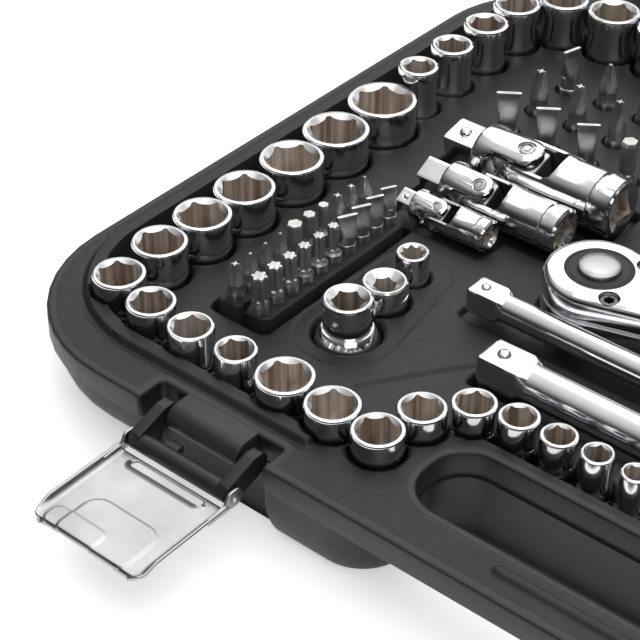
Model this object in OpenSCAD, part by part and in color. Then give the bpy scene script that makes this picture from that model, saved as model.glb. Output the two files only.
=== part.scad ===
// Three-drive socket wrench set in a hinged, double-walled moulded case.
// Millimetres, +Z up. The origin is the centre of the base half's resting face.
// Positions are written from the case's left edge (x) and front edge (y); corner() moves them.

/* [Case] */
// Width of the case along its hinge
case_w = 440; // [438:1:446]
// Depth of one case half, front to back
case_d = 325; // [324:1:330]
// Height of one case half, from its resting face to the parting plane
half_h = 30; // [30:0.5:31]
// Thickness of the moulded skins
skin = 2.5; // [2:0.1:2.8]
// Corner radius of the case outline
corner_r = 55; // [50:1:58]
// Depth of the tray surface below the parting plane
tray_drop = 6; // [5:0.5:7]
// Distance of the hinge axis behind the rear edge
hinge_gap = 6; // [5.8:0.1:8]

/* [Handle] */
// Length of the finger slot
slot_l = 106; // [96:1:108]
// Width of the finger slot
slot_w = 30; // [26:1:31]
// Width of the handle bar in front of the slot
bar_w = 18.5; // [17:0.5:19]

/* [Latches] */
// Distance of a latch's centre from the case's side
latch_x = 102; // [98:1:106]
// Width of the latch recess
latch_w = 52; // [51.5:0.1:53]
// Length of the latch plate
plate_l = 39; // [38:1:44]
// Distance between the latch link's two pivots, along Y
link_reach = 13.5; // [13:0.1:14]

/* [Sockets] */
// Height of the standard socket rims above the resting face
rim_z = 38; // [37:0.5:39]
// Height of the rims of the half-inch sockets
tall_rim_z = 43; // [42:0.5:44]
// Length of a quarter-inch drive socket
quarter_l = 25; // [24:0.5:25]
// Length of a three-eighths drive socket
medium_l = 28; // [26:0.5:28]
// Length of a half-inch drive socket
tall_l = 38; // [36:0.5:38]
// Clearance around a tool in its well
well_gap = 0.9; // [0.7:0.1:1]

/* [Tools] */
// Length of the half-inch ratchet
ratchet_half_l = 250; // [240:1:250]
// Length of the three-eighths ratchet
ratchet_medium_l = 198; // [190:1:200]
// Length of the quarter-inch ratchet
ratchet_quarter_l = 148; // [140:1:150]
// Length of the two long extension bars
extension_l = 125; // [120:1:125]

/* [Hidden] */
$fn = 48;
fit = 0.05;
loose = 0.3;
band_h = 9.5;
band_inset = 3;
belly_r = 16;
tray_z = half_h - tray_drop;
lip_h = 2;
lip_w = 6;
opening_left = 5;
opening_front = 16;
opening_back = 8;
opening_r = 50;
plateau_x0 = 140;
plateau_y1 = 54;
slot_x = case_w / 2;
slot_y = bar_w + slot_w / 2;
lid_room = 18.5;
inch_quarter = 6.35;
inch_medium = 9.53;
inch_half = 12.7;
hinge_y = case_d + hinge_gap;
hinge_z = half_h;
knuckle_r = 5;
hinge_pin_r = 2;
hinge_x = [95, case_w - 95];
knuckle_l = 17;

latch_pivot = [5.5, half_h - 5];
latch_pin = [latch_pivot[0] - link_reach, latch_pivot[1] - 4];
latch_rod_r = 2;
latch_pin_r = 1.5;
arm_w = 4.5;
arm_r = 3.6;
link_bar_r = 3.2;
arm_x = 18.9;
ear_t = 1.2;
plate_t = 1.2;
plate_half = 22.8;
catch_z = half_h + 9;

// Rows of standing sockets: [size across the flats, x, y]
quarter_row = [
  [14, 111, 31], [13, 131.5, 30], [12, 150, 29.5], [11, 154, 46.5], [10, 165, 59],
  [9, 179.5, 62.5], [8, 194, 63], [7, 207.5, 63.5], [6, 221, 63.5], [5.5, 234.5, 63.5],
  [5, 248, 63.5], [4.5, 261.5, 62.5], [4, 275, 59]
];
medium_row = [
  [10, 90, 31], [11, 70.5, 30.5], [12, 51, 32], [13, 31.5, 36.5], [14, 29, 59], [15, 29, 81],
  [16, 29, 103.5], [17, 29, 130], [18, 29, 156], [19, 29, 184.5]
];
tall_row = [
  [10, 29, 207.5], [11, 29, 230], [12, 29, 253.5], [13, 29, 275.5], [14, 41.5, 292.5], [15, 64, 296],
  [16, 88, 297], [17, 113.5, 296.5], [18, 140, 296], [19, 167.5, 295.5], [20, 196.5, 295],
  [21, 226.5, 294], [22, 258, 293.5], [24, 291, 292.5]
];
large_row = [[27, 327.5, 290], [30, 369, 287.5], [32, 404, 257]];
star_row = [
  [11, 290, 30], [12, 308, 30], [13, 329, 31], [14, 350, 31], [15, 369.5, 30.5], [16, 389, 32]
];

rack_x = 56.5;
rack_y = 57;
rack_size = [23, 79, 13];
rack_z = 15;
rack_pitch = 7.8;
rack_columns = [6, 17];
bit_af = 6.35;
bit_l = 25;
big_bit_af = 8;
big_bit_l = 30;
big_bit_top = 42;
big_bit_x0 = 68;
big_bit_y0 = 214.5;
big_bit_pitch = [18.4, 22];
big_bit_count = [5, 3];

// Bit holders: [x, y, body diameter, base diameter, hexagon across flats, square drive, rim z]
holders = [
  [100.5, 75.5, 17.8, 23.5, 10, inch_half, 38], [99.5, 97, 16.8, 16.8, 8, inch_medium, 32.5],
  [98, 114.5, 12, 12, inch_quarter, inch_quarter, 34.5]
];
holder_l = 28;
// Drive adapters: [x, y, female end diameter, male square]
adapters = [[302, 90, 22, inch_medium], [330, 90, 18, inch_half], [356, 90, 16, inch_quarter]];
adapter_l = 32;

// Universal joints: [x of the cross, y, z, body radius, drive side, socket side, square, roll]
ujoint_quarter = [87.5, 145.5, 29, 6.5, 18.6, 22, inch_quarter, 28];
ujoint_medium = [94.5, 162.5, 31, 9.2, 28, 35.5, inch_medium, 28];
ujoint_half = [97.5, 186.5, 32, 12, 36, 41, inch_half, 12];

// Ratchets: [x of the head, y, head radius, top z, thickness, handle z, square]
ratchet_half = [159.5, 137.5, 19.2, 43, 22, 33, inch_half];
ratchet_medium = [173, 179.5, 15.5, 41, 18, 32.5, inch_medium];
ratchet_quarter = [166, 213, 12, 39, 15, 32, inch_quarter];

// Extension bars: [x, y, z, shaft radius, length, square, female end radius]
bar_half = [149, 87, 29, 6.2, extension_l, inch_half, 10.5];
bar_medium = [125, 113, 30.5, 4.6, extension_l, inch_medium, 8];
bar_quarter = [318, 217, 26.5, 3.4, 72, inch_quarter, 6];

// Spark plug sockets lying along Y: [x, y, diameter, hexagon across flats]
plug_sockets = [[407, 50, 27, 21], [407, 126, 22, 16]];
plug_l = 65;
plug_z = 26;

spinner = [165, 250, 32, 15];
spinner_grip_l = 98;
spinner_shaft_l = 55;

function quarter_d(s) = 14.8 + 1.31 * (s - 10);
function medium_d(s) = 14.7 + 1.4 * (s - 10);
function tall_d(s) = 16.2 + 1.2 * (s - 10);
function quarter_base_d(s) = max(11.5, quarter_d(s) - 1);
function medium_base_d(s) = max(16.8, medium_d(s) - 0.6);
function star_d(s) = s * 1.15;
function tall_base_d(s) = max(17.6, tall_d(s) - 1.2);
function bar_x1(b) = b[0] + b[4];
function bar_end_l(b) = b[5] * 1.8;

module corner() { translate([-case_w / 2, -case_d / 2, 0]) children(); }

// A rectangle with round corners, from one corner point to the other
module pad(x0, y0, x1, y1, r, z0, z1) {
  translate([0, 0, z0]) linear_extrude(z1 - z0) {
    translate([x0 + r, y0]) square([x1 - x0 - 2 * r, y1 - y0]);
    translate([x0, y0 + r]) square([x1 - x0, y1 - y0 - 2 * r]);
    for (x = [x0 + r, x1 - r], y = [y0 + r, y1 - r]) translate([x, y]) circle(r);
  }
}

module outline(inset, z0, z1) {
  pad(inset, inset, case_w - inset, case_d - inset, corner_r - inset, z0, z1);
}

module opening(grow, z0, z1) {
  pad(opening_left - grow, opening_front - grow, case_w - opening_left + grow,
      case_d - opening_back + grow, opening_r + grow, z0, z1);
}

module plateau(inset, z0, z1) {
  pad(plateau_x0 + inset, -20, case_w - plateau_x0 - inset, plateau_y1 - inset, 8, z0, z1);
}

module slot(grow, z0, z1) {
  r = slot_w / 2 - 2 + grow;
  pad(slot_x - slot_l / 2 - grow, slot_y - slot_w / 2 - grow, slot_x + slot_l / 2 + grow,
      slot_y + slot_w / 2 + grow, r, z0, z1);
}

module latch_recess(grow, z0, z1) {
  for (x = [latch_x, case_w - latch_x])
    pad(x - latch_w / 2 - grow, -20, x + latch_w / 2 + grow, 11 + grow, 2 + grow, z0, z1);
}

// The space under the handle bar and its slot, where the belly steps back
module handle_space(grow, z1) {
  pad(slot_x - slot_l / 2 - grow, -20, slot_x + slot_l / 2 + grow, slot_y + slot_w / 2 + grow,
      12, -1, z1);
}

// The deep part of a half, rounded towards its resting face
module belly(inset, z0) {
  top = half_h - band_h + 0.1;
  steps = 4;
  hull() {
    for (i = [0 : steps]) {
      a = 90 * i / steps;
      outline(band_inset + inset + (belly_r - inset) * (1 - sin(a)),
              z0 + (belly_r - inset) * (1 - cos(a)), z0 + (belly_r - inset) * (1 - cos(a)) + 0.01);
    }
    outline(band_inset + inset, z0 + belly_r - inset, top);
  }
}

// The outer skin of a half, resting face at z 0
module outer_skin() {
  difference() {
    union() {
      outline(0, half_h - band_h, half_h - skin);
      difference() {
        belly(0, 0);
        handle_space(0, half_h - band_h);
      }
    }
    difference() {
      union() {
        outline(skin, half_h - band_h + skin, half_h);
        difference() {
          union() {
            belly(skin, skin);
            outline(band_inset + skin, half_h - band_h - 1, half_h - band_h + skin + 1);
          }
          handle_space(skin, half_h - band_h + skin);
        }
      }
      latch_recess(skin, -1, half_h + 1);
      slot(skin, -1, half_h + 1);
    }
    latch_recess(0, -1, half_h + 1);
    slot(0, -1, half_h + 1);
  }
}

module along_x(x, y, z, l, r) { translate([x, y, z]) rotate([0, 90, 0]) cylinder(h = l, r = r); }
module along_y(x, y, z, l, r) { translate([x, y, z]) rotate([-90, 0, 0]) cylinder(h = l, r = r); }

module well(x, y, r, floor_z, top_z) {
  translate([x, y, floor_z]) cylinder(h = top_z - floor_z, r = r);
}

// Every round well; grow and drop turn the hollows into the cups around them
module wells(grow, drop, top_z) {
  for (s = quarter_row)
    well(s[1], s[2], max(quarter_d(s[0]), quarter_base_d(s[0])) / 2 + well_gap + grow,
         rim_z - quarter_l - drop, top_z);
  for (s = medium_row)
    well(s[1], s[2], max(medium_d(s[0]), medium_base_d(s[0])) / 2 + well_gap + grow,
         rim_z - medium_l - drop, top_z);
  for (s = concat(tall_row, large_row))
    well(s[1], s[2], max(tall_d(s[0]), tall_base_d(s[0])) / 2 + well_gap + grow,
         tall_rim_z - tall_l - drop, top_z);
  for (s = star_row)
    well(s[1], s[2], star_d(s[0]) / 2 + well_gap + grow, rim_z - quarter_l - drop, top_z);
  for (h = holders)
    well(h[0], h[1], h[3] / 2 + well_gap + grow, h[6] - holder_l - drop, top_z);
  for (a = adapters)
    well(a[0], a[1], a[2] / 2 + well_gap + grow, rim_z - adapter_l - drop, top_z);
  for (i = [0 : big_bit_count[0] - 1], j = [0 : big_bit_count[1] - 1])
    well(big_bit_x0 + i * big_bit_pitch[0], big_bit_y0 + j * big_bit_pitch[1],
         big_bit_af / 2 / cos(30) + 0.4 + grow, big_bit_top - big_bit_l - drop, top_z);
  for (r = [ratchet_half, ratchet_medium, ratchet_quarter]) {
    well(r[0], r[1], r[2] + well_gap + grow, r[3] - r[4] - 0.5 - drop, top_z);
    well(r[0], r[1], r[6] * 0.8 + grow, r[3] - r[4] - r[6] - 1 - drop, top_z);
  }
}

module trough(x0, y0, x1, y1, floor_z, grow, drop, top_z) {
  pad(x0 - grow, y0 - grow, x1 + grow, y1 + grow, 2 + grow, floor_z - drop, top_z);
}

module ujoint_trough(u, grow, drop, top_z) {
  r = u[3] + well_gap;
  trough(u[0] - u[4] - 1.5, u[1] - r, u[0] + u[5] + 1.5, u[1] + r, u[2] - u[3] - 1.8,
         grow, drop, top_z);
}

module bar_trough(b, grow, drop, top_z) {
  floor_z = b[2] - b[6] - 0.5;
  for (p = [[b[0], max(b[3], b[5] / 2) + 1.5], [bar_x1(b) - bar_end_l(b), b[6] + well_gap]])
    trough(p[0] - 1.5, b[1] - p[1], bar_x1(b) + 1.5, b[1] + p[1], floor_z, grow, drop, top_z);
}

module handle_trough(r, l, half_w, grow, drop, top_z) {
  trough(r[0] + 5, r[1] - half_w, r[0] - r[2] + l + 2, r[1] + half_w, r[5] - half_w, grow, drop,
         top_z);
}

module troughs(grow, drop, top_z) {
  trough(rack_x - 1.5, rack_y - 1.5, rack_x + rack_size[0] + 1.5, rack_y + rack_size[1] + 1.5,
         rack_z - 0.5, grow, drop, top_z);
  for (u = [ujoint_quarter, ujoint_medium, ujoint_half]) ujoint_trough(u, grow, drop, top_z);
  for (b = [bar_half, bar_medium, bar_quarter]) bar_trough(b, grow, drop, top_z);
  handle_trough(ratchet_half, ratchet_half_l, 13, grow, drop, top_z);
  handle_trough(ratchet_medium, ratchet_medium_l, 11.5, grow, drop, top_z);
  handle_trough(ratchet_quarter, ratchet_quarter_l, 8.5, grow, drop, top_z);
  for (p = plug_sockets)
    trough(p[0] - p[2] / 2 - 1, p[1] - 1.5, p[0] + p[2] / 2 + 1, p[1] + plug_l + 1.5,
           plug_z - p[2] / 2 - 0.5, grow, drop, top_z);
  trough(spinner[0] - 1.5, spinner[1] - spinner[3] - 1,
         spinner[0] + spinner_grip_l + spinner_shaft_l + 1.5, spinner[1] + spinner[3] + 1,
         spinner[2] - spinner[3] - 0.5, grow, drop, top_z);
}

module latch_boss() {
  for (x = [latch_x, case_w - latch_x]) difference() {
    union() {
      along_x(x - 15, latch_pivot[0], latch_pivot[1], 30, 5);
      translate([x - 15, latch_pivot[0], latch_pivot[1] - 5]) cube([30, 5.5, 10]);
    }
    along_x(x - 20, latch_pivot[0], latch_pivot[1], 40, latch_rod_r + fit);
  }
}

module base_shell() { color([0.09, 0.09, 0.1]) corner() outer_skin(); }

// The hollows that the tools lie and stand in
module hollows(grow, drop, top_z) {
  wells(grow, drop, top_z);
  troughs(grow, drop, top_z);
}

module base_tray() {
  cup = 1.5;
  color([0.13, 0.13, 0.14]) corner() {
    difference() {
      union() {
        difference() {
          outline(0, half_h - skin, half_h);
          difference() {
            opening(-lip_w, half_h - skin - 1, half_h + 1);
            plateau(0, half_h - skin - 2, half_h + 2);
          }
          latch_recess(0, 0, half_h + 1);
        }
        difference() {
          opening(0, half_h, half_h + lip_h);
          opening(-lip_w, half_h - 1, half_h + lip_h + 1);
          plateau(-8, half_h - 1, half_h + lip_h + 1);
        }
        difference() {
          union() {
            difference() {
              opening(-lip_w + skin, tray_z - skin, half_h - skin + 0.1);
              opening(-lip_w, tray_z, half_h);
            }
            difference() {
              intersection() {
                plateau(0, tray_z - 0.1, half_h - skin + 0.1);
                opening(-lip_w, tray_z - 1, half_h);
              }
              plateau(skin, tray_z - 1, half_h);
            }
            hollows(cup, cup, tray_z - 1);
            intersection() {
              wells(cup, cup, half_h - skin + 0.1);
              plateau(0.2, tray_z - 1, half_h);
            }
          }
          handle_space(skin + 0.1, half_h - skin);
        }
      }
      hollows(0, 0, half_h + lip_h + 1);
      slot(0, 0, half_h + 1);
    }
    latch_boss();
  }
}

module knuckles(starts) {
  for (x = hinge_x, s = starts) difference() {
    union() {
      along_x(x + s, hinge_y, hinge_z, knuckle_l, knuckle_r);
      translate([x + s, case_d - 2, hinge_z - knuckle_r]) cube([knuckle_l, hinge_gap + 2, knuckle_r - 1]);
    }
    along_x(x + s - 1, hinge_y, hinge_z, knuckle_l + 2, hinge_pin_r + fit);
  }
}

module base_knuckles() {
  color([0.1, 0.1, 0.11]) corner() difference() {
    knuckles([-knuckle_l * 1.5 - loose, knuckle_l / 2 + loose]);
    outline(-0.1, 0, half_h + 1);
  }
}

module hinge_pins() {
  color([0.7, 0.7, 0.72]) corner() for (x = hinge_x)
    along_x(x - knuckle_l * 1.5 - 1, hinge_y, hinge_z, knuckle_l * 3 + 2, hinge_pin_r);
}

// Turns a closed lid part back to its open place, half a turn about the hinge
module opened() {
  translate([0, hinge_y, hinge_z]) rotate([180, 0, 0]) translate([0, -hinge_y, -hinge_z])
    children();
}

// A lid part is drawn like the base half and turned over onto it
module turned_over() {
  translate([0, 0, half_h * 2]) mirror([0, 0, 1]) children();
}

module lid_shell() { color([0.09, 0.09, 0.1]) corner() opened() turned_over() outer_skin(); }

// The lid's inner hollow, deep enough for the tallest tools
module lid_hollow(grow, z0, z1) {
  pad(12 - grow, 19 - grow, case_w - 12 + grow, case_d - 12 + grow, 38 + grow, z0, z1);
}

module lid_liner() {
  groove_z = half_h - lip_h - 0.5;
  room_z = half_h - lid_room;
  color([0.13, 0.13, 0.14]) corner() opened() turned_over() {
    difference() {
      union() {
        difference() {
          outline(0, groove_z, half_h);
          difference() {
            opening(0.8, groove_z - 1, half_h + 1);
            handle_space(skin, half_h + 1);
          }
        }
        difference() {
          union() {
            outline(skin + 0.2, groove_z - skin, groove_z);
            lid_hollow(2, room_z - skin, groove_z);
          }
          lid_hollow(0, room_z, half_h + 1);
          handle_space(skin + 0.1, groove_z + 0.1);
        }
      }
      slot(0, 0, half_h + 1);
      latch_recess(0, 0, half_h + 1);
      latch_recess(skin + 0.1, 0, groove_z);
    }
    for (x = [latch_x, case_w - latch_x]) {
      along_x(x - 15, 5, half_h * 2 - catch_z, 30, 3);
      translate([x - 15, 5, half_h * 2 - catch_z - 3]) cube([30, 5.9, catch_z - half_h + 2.7]);
      translate([x - 15, 5, groove_z + 0.1]) cube([30, 6.5, half_h - groove_z - 0.4]);
    }
  }
}

module lid_knuckles() {
  color([0.1, 0.1, 0.11]) corner() opened() difference() {
    translate([0, 0, hinge_z]) mirror([0, 0, 1]) translate([0, 0, -hinge_z])
      knuckles([-knuckle_l / 2]);
    outline(-0.1, 0, half_h * 2);
  }
}

// A bar in the YZ plane between two points, as thick as arm_w in X
module arm(x, a, b, r) {
  d = b - a;
  along_x(x, a[0], a[1], arm_w, r);
  along_x(x, b[0], b[1], arm_w, r);
  translate([x, a[0], a[1]]) rotate([atan2(d[1], d[0]), 0, 0]) translate([0, 0, -r * 0.9])
    cube([arm_w, norm(d), r * 1.8]);
}

module latch_link(x) {
  color([0.12, 0.12, 0.13]) corner() translate([x, 0, 0]) difference() {
    union() {
      for (s = [-arm_x - arm_w / 2, arm_x - arm_w / 2]) arm(s, latch_pivot, latch_pin, arm_r);
      along_x(-arm_x, latch_pin[0], latch_pin[1], 2 * arm_x, link_bar_r);
      along_x(-arm_x, latch_pivot[0], latch_pivot[1], 2 * arm_x, latch_rod_r);
    }
    along_x(-30, latch_pin[0], latch_pin[1], 60, latch_pin_r + fit);
  }
}

module latch_pin_rod(x) {
  color([0.75, 0.75, 0.77]) corner()
    along_x(x - plate_half - 0.6, latch_pin[0], latch_pin[1], 2 * plate_half + 1.2, latch_pin_r);
}

module latch_plate(x) {
  y0 = latch_pin[0] - 4.4;
  z = latch_pin[1] - 2.6;
  color([0.78, 0.79, 0.8]) corner() translate([x, 0, 0]) difference() {
    union() {
      translate([-plate_half, y0 - plate_l, z]) cube([2 * plate_half, plate_l, plate_t]);
      translate([-plate_half, y0 - plate_l, z]) cube([2 * plate_half, 1.2, 2.6]);
      for (s = [-plate_half, plate_half - ear_t]) {
        translate([s, y0 - plate_l, z]) cube([ear_t, plate_l, 2.8]);
        translate([s, y0 - 0.5, z]) cube([ear_t, 5, 2.8]);
        along_x(s, latch_pin[0], latch_pin[1], ear_t, 3.3);
      }
    }
    pad(-15, y0 - 7, 15, y0 - 3, 1.9, z - 1, z + 3);
    along_x(-30, latch_pin[0], latch_pin[1], 60, latch_pin_r + fit);
  }
}

// A standing socket: six-point mouth upwards, square drive hole below
module socket(af, d_rim, d_base, l, square_hole, points) {
  mouth = l * 0.55;
  difference() {
    union() {
      cylinder(h = l, d = d_rim - 1);
      cylinder(h = l * (d_base > d_rim ? 0.52 : 0.3), d = d_base);
      translate([0, 0, l * 0.72]) cylinder(h = l * 0.28, d = d_rim);
    }
    translate([0, 0, l - mouth]) cylinder(h = mouth + 1, d = af / cos(180 / points), $fn = points);
    translate([-square_hole / 2, -square_hole / 2, -1]) cube([square_hole, square_hole, l - mouth + 1.01]);
  }
}

module chrome() { color([0.8, 0.8, 0.82]) corner() children(); }

module sockets_quarter() {
  chrome() for (s = quarter_row) translate([s[1], s[2], rim_z - quarter_l])
    socket(s[0], quarter_d(s[0]), quarter_base_d(s[0]), quarter_l, inch_quarter, 6);
}

module sockets_medium() {
  chrome() for (s = medium_row) translate([s[1], s[2], rim_z - medium_l])
    socket(s[0], medium_d(s[0]), medium_base_d(s[0]), medium_l, inch_medium, 6);
}

module sockets_tall() {
  chrome() for (s = tall_row) translate([s[1], s[2], tall_rim_z - tall_l])
    socket(s[0], tall_d(s[0]), tall_base_d(s[0]), tall_l, s[0] < 14 ? inch_medium : inch_half, 6);
}

module sockets_large() {
  chrome() for (s = large_row) translate([s[1], s[2], tall_rim_z - tall_l])
    socket(s[0], tall_d(s[0]), tall_base_d(s[0]), tall_l, inch_half, 6);
}

module sockets_star() {
  chrome() for (s = star_row) translate([s[1], s[2], rim_z - quarter_l])
    socket(s[0] * 0.7, star_d(s[0]), star_d(s[0]) - 0.6, quarter_l, inch_quarter, 12);
}

module plug_sockets_lying() {
  chrome() for (p = plug_sockets) translate([p[0], p[1], plug_z]) rotate([-90, 0, 0])
    socket(p[3], p[2], p[2] - 1, plug_l, inch_half, 6);
}

module bit_holder(h) {
  chrome() translate([h[0], h[1], h[6] - holder_l]) difference() {
    union() {
      cylinder(h = holder_l, d = h[2]);
      cylinder(h = holder_l * 0.45, d = h[3]);
    }
    translate([0, 0, holder_l * 0.5]) cylinder(h = holder_l, d = h[4] / cos(30), $fn = 6);
    translate([-h[5] / 2, -h[5] / 2, -1]) cube([h[5], h[5], holder_l * 0.5 + 1.01]);
  }
}

module drive_adapters() {
  chrome() for (a = adapters) translate([a[0], a[1], rim_z - adapter_l]) {
    cylinder(h = adapter_l * 0.6, d = a[2]);
    translate([-a[3] / 2, -a[3] / 2, adapter_l * 0.6 - 0.1]) cube([a[3], a[3], adapter_l * 0.4]);
  }
}

// Places a universal joint's part, its cross at the origin and its length along X
module at_ujoint(u) { chrome() translate([u[0], u[1], u[2]]) rotate([u[7], 0, 0]) children(); }

// Two ears about the Z axis, on the -X side, with a bored hub; half_w is an ear's half width
module ujoint_yoke(r, half_w) {
  difference() {
    union() {
      intersection() {
        rotate([0, -90, 0]) cylinder(h = r * 1.75, r = r);
        translate([-r * 1.75, -r, -r]) cube([r * 1.75, 2 * r, 2 * r]);
      }
      intersection() {
        rotate([0, -90, 0]) translate([0, 0, -r]) cylinder(h = r * 2, r = r);
        translate([0, 0, -r]) cylinder(h = 2 * r, r = half_w);
      }
    }
    translate([-r * 1.25, -r * 1.1, -r * 0.62]) cube([r * 3, r * 2.2, r * 1.24]);
    for (s = [-r - half_w, half_w]) translate([-r * 1.2, s, -r * 1.1])
      cube([r * 2.4, r, r * 2.2]);
    translate([0, 0, -r - 1]) cylinder(h = 2 * r + 2, r = r * 0.2 + fit);
  }
}

module ujoint_drive(u) {
  r = u[3];
  at_ujoint(u) {
    ujoint_yoke(r, r * 0.55);
    translate([-u[4], -u[6] / 2, -u[6] / 2]) cube([u[4] - r * 1.7, u[6], u[6]]);
  }
}

module ujoint_cross(u) {
  r = u[3];
  at_ujoint(u) intersection() {
    union() {
      translate([-r * 0.55, -r * 0.55, -r * 0.55]) cube(r * 1.1);
      translate([0, 0, -r * 0.97]) cylinder(h = r * 1.94, r = r * 0.2);
      translate([0, -r * 0.97, 0]) rotate([-90, 0, 0]) cylinder(h = r * 1.94, r = r * 0.2);
    }
    cube(r * 2, center = true);
  }
}

module ujoint_socket(u) {
  r = u[3];
  at_ujoint(u) difference() {
    union() {
      rotate([90, 0, 0]) mirror([1, 0, 0]) ujoint_yoke(r, r * 0.68);
      translate([r * 1.7, 0, 0]) rotate([0, 90, 0]) cylinder(h = u[5] - r * 1.7, r = r * 0.97);
    }
    translate([u[5] - u[6], -u[6] / 2, -u[6] / 2]) cube([u[6] + 1, u[6], u[6]]);
  }
}

// Places a ratchet's part, its head's centre at the origin and its handle along X
module at_ratchet(r) { corner() translate([r[0], r[1], r[3]]) children(); }

function gear_r(r) = r[2] * 0.6;
function button_r(r) = r[2] * 0.39;
function screw_place(r, s) = [r[2] * 0.6, s * r[2] * 0.62];
function screw_r(r) = r[2] * 0.17;

module ratchet_body(r, l, grip_l) {
  shaft_end = l - r[2] - max(grip_l - 10, 0);
  color([0.8, 0.8, 0.82]) at_ratchet(r) difference() {
    union() {
      translate([0, 0, -r[4]]) cylinder(h = r[4], r = r[2]);
      translate([0, 0, -r[4] * 0.8]) hull() {
        cylinder(h = r[4] * 0.78, r = r[2] - 0.1);
        translate([r[2] * 2, 0, 0]) cylinder(h = r[4] * 0.78, r = r[2] * 0.42);
      }
      along_x(r[2] * 1.2, 0, r[5] - r[3], shaft_end - r[2] * 1.2, r[2] * 0.36);
      if (grip_l > 0) along_x(shaft_end - 0.1, 0, r[5] - r[3], grip_l - 14, r[2] * 0.25);
    }
    translate([0, 0, -r[4] + 3]) cylinder(h = r[4], r = gear_r(r) + 0.4);
    translate([0, 0, -r[4] - 1]) cylinder(h = 5, r = r[6] * 0.75 + fit);
    for (s = [-1, 1]) translate([screw_place(r, s)[0], screw_place(r, s)[1], -r[4] * 0.4])
      cylinder(h = r[4], r = screw_r(r) + fit);
    translate([r[2] * 1.3, 0, -r[4] * 0.35]) cylinder(h = r[4], r = r[2] * 0.16 + fit);
  }
}

module ratchet_grip(r, l, grip_l) {
  color([0.08, 0.08, 0.09]) at_ratchet(r) difference() {
    along_x(l - r[2] - grip_l + 10.2, 0, r[5] - r[3], grip_l - 10.2, r[2] * 0.62);
    along_x(l - r[2] - grip_l, 0, r[5] - r[3], grip_l - 4, r[2] * 0.25 + fit);
  }
}

module ratchet_plate(r) {
  color([0.3, 0.3, 0.31]) at_ratchet(r) difference() {
    translate([0, 0, -2.4]) cylinder(h = 2.4, r = gear_r(r) + 0.3);
    translate([0, 0, -4]) cylinder(h = 6, r = button_r(r) + fit);
  }
}

module ratchet_screws(r) {
  color([0.25, 0.25, 0.26]) at_ratchet(r) for (s = [-1, 1])
    translate([screw_place(r, s)[0], screw_place(r, s)[1], -r[4] * 0.38]) difference() {
      cylinder(h = r[4] * 0.36, r = screw_r(r));
      translate([0, 0, r[4] * 0.24]) cylinder(h = r[4], r = screw_r(r) * 0.5, $fn = 6);
    }
}

module ratchet_button(r) {
  color([0.78, 0.79, 0.8]) at_ratchet(r) {
    translate([0, 0, -2.2]) cylinder(h = 4.6, r = button_r(r));
    translate([0, 0, -r[4] * 0.55]) cylinder(h = r[4] * 0.55 - 2, r = r[6] * 0.16);
  }
}

module ratchet_lever(r) {
  color([0.3, 0.3, 0.31]) at_ratchet(r) translate([r[2] * 1.3, 0, 0]) {
    translate([0, 0, -r[4] * 0.3]) cylinder(h = r[4] * 0.3 + 0.5, r = r[2] * 0.16);
    translate([0, 0, 0.4]) cylinder(h = 2, r = r[2] * 0.26);
    translate([0, -r[2] * 0.13, 0.4]) cube([r[2] * 0.62, r[2] * 0.26, 2]);
  }
}

module ratchet_drive(r) {
  top = -2.4 - 2.6;
  color([0.7, 0.7, 0.72]) at_ratchet(r) difference() {
    union() {
      translate([0, 0, -r[4] + 3.3]) cylinder(h = r[4] - 3.3 + top, r = gear_r(r));
      translate([0, 0, -r[4] - 0.5]) cylinder(h = 4, r = r[6] * 0.75);
      translate([-r[6] / 2, -r[6] / 2, -r[4] - r[6]]) cube([r[6], r[6], r[6]]);
    }
    translate([0, 0, -r[4] * 0.8]) cylinder(h = r[4], r = r[6] * 0.16 + fit);
  }
}

module bit_rack() {
  color([0.05, 0.05, 0.055]) corner() difference() {
    translate([rack_x, rack_y, rack_z]) cube(rack_size);
    for (c = rack_columns, i = [0 : 9])
      translate([rack_x + c, rack_y + 4.5 + i * rack_pitch, rack_z + 2]) rotate([0, 0, 30])
        cylinder(h = rack_size[2], d = (bit_af + 0.3) / cos(30), $fn = 6);
  }
}

module rack_bits() {
  color([0.4, 0.4, 0.42]) corner() for (c = rack_columns, i = [0 : 9])
    translate([rack_x + c, rack_y + 4.5 + i * rack_pitch, rack_z + 2.2]) {
      rotate([0, 0, 30]) cylinder(h = bit_l * 0.62, d = bit_af / cos(30), $fn = 6);
      cylinder(h = bit_l, d = 5);
    }
}

module large_bits() {
  color([0.4, 0.4, 0.42]) corner()
    for (i = [0 : big_bit_count[0] - 1], j = [0 : big_bit_count[1] - 1])
      translate([big_bit_x0 + i * big_bit_pitch[0], big_bit_y0 + j * big_bit_pitch[1],
                 big_bit_top - big_bit_l]) {
        cylinder(h = big_bit_l * 0.6, d = big_bit_af / cos(30), $fn = 6);
        cylinder(h = big_bit_l, d = 7);
      }
}

module extension_bar(b) {
  chrome() translate([b[0], b[1], b[2]]) difference() {
    union() {
      translate([0, -b[5] / 2, -b[5] / 2]) cube([b[5] * 1.3, b[5], b[5]]);
      rotate([0, 90, 0]) translate([0, 0, b[5] * 1.2])
        cylinder(h = b[4] - b[5] * 1.2 - 1, r = b[3]);
      rotate([0, 90, 0]) translate([0, 0, b[4] - bar_end_l(b)])
        cylinder(h = bar_end_l(b), r = b[6]);
    }
    translate([b[4] - b[5], -b[5] / 2, -b[5] / 2]) cube([b[5] + 1, b[5], b[5]]);
  }
}

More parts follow.
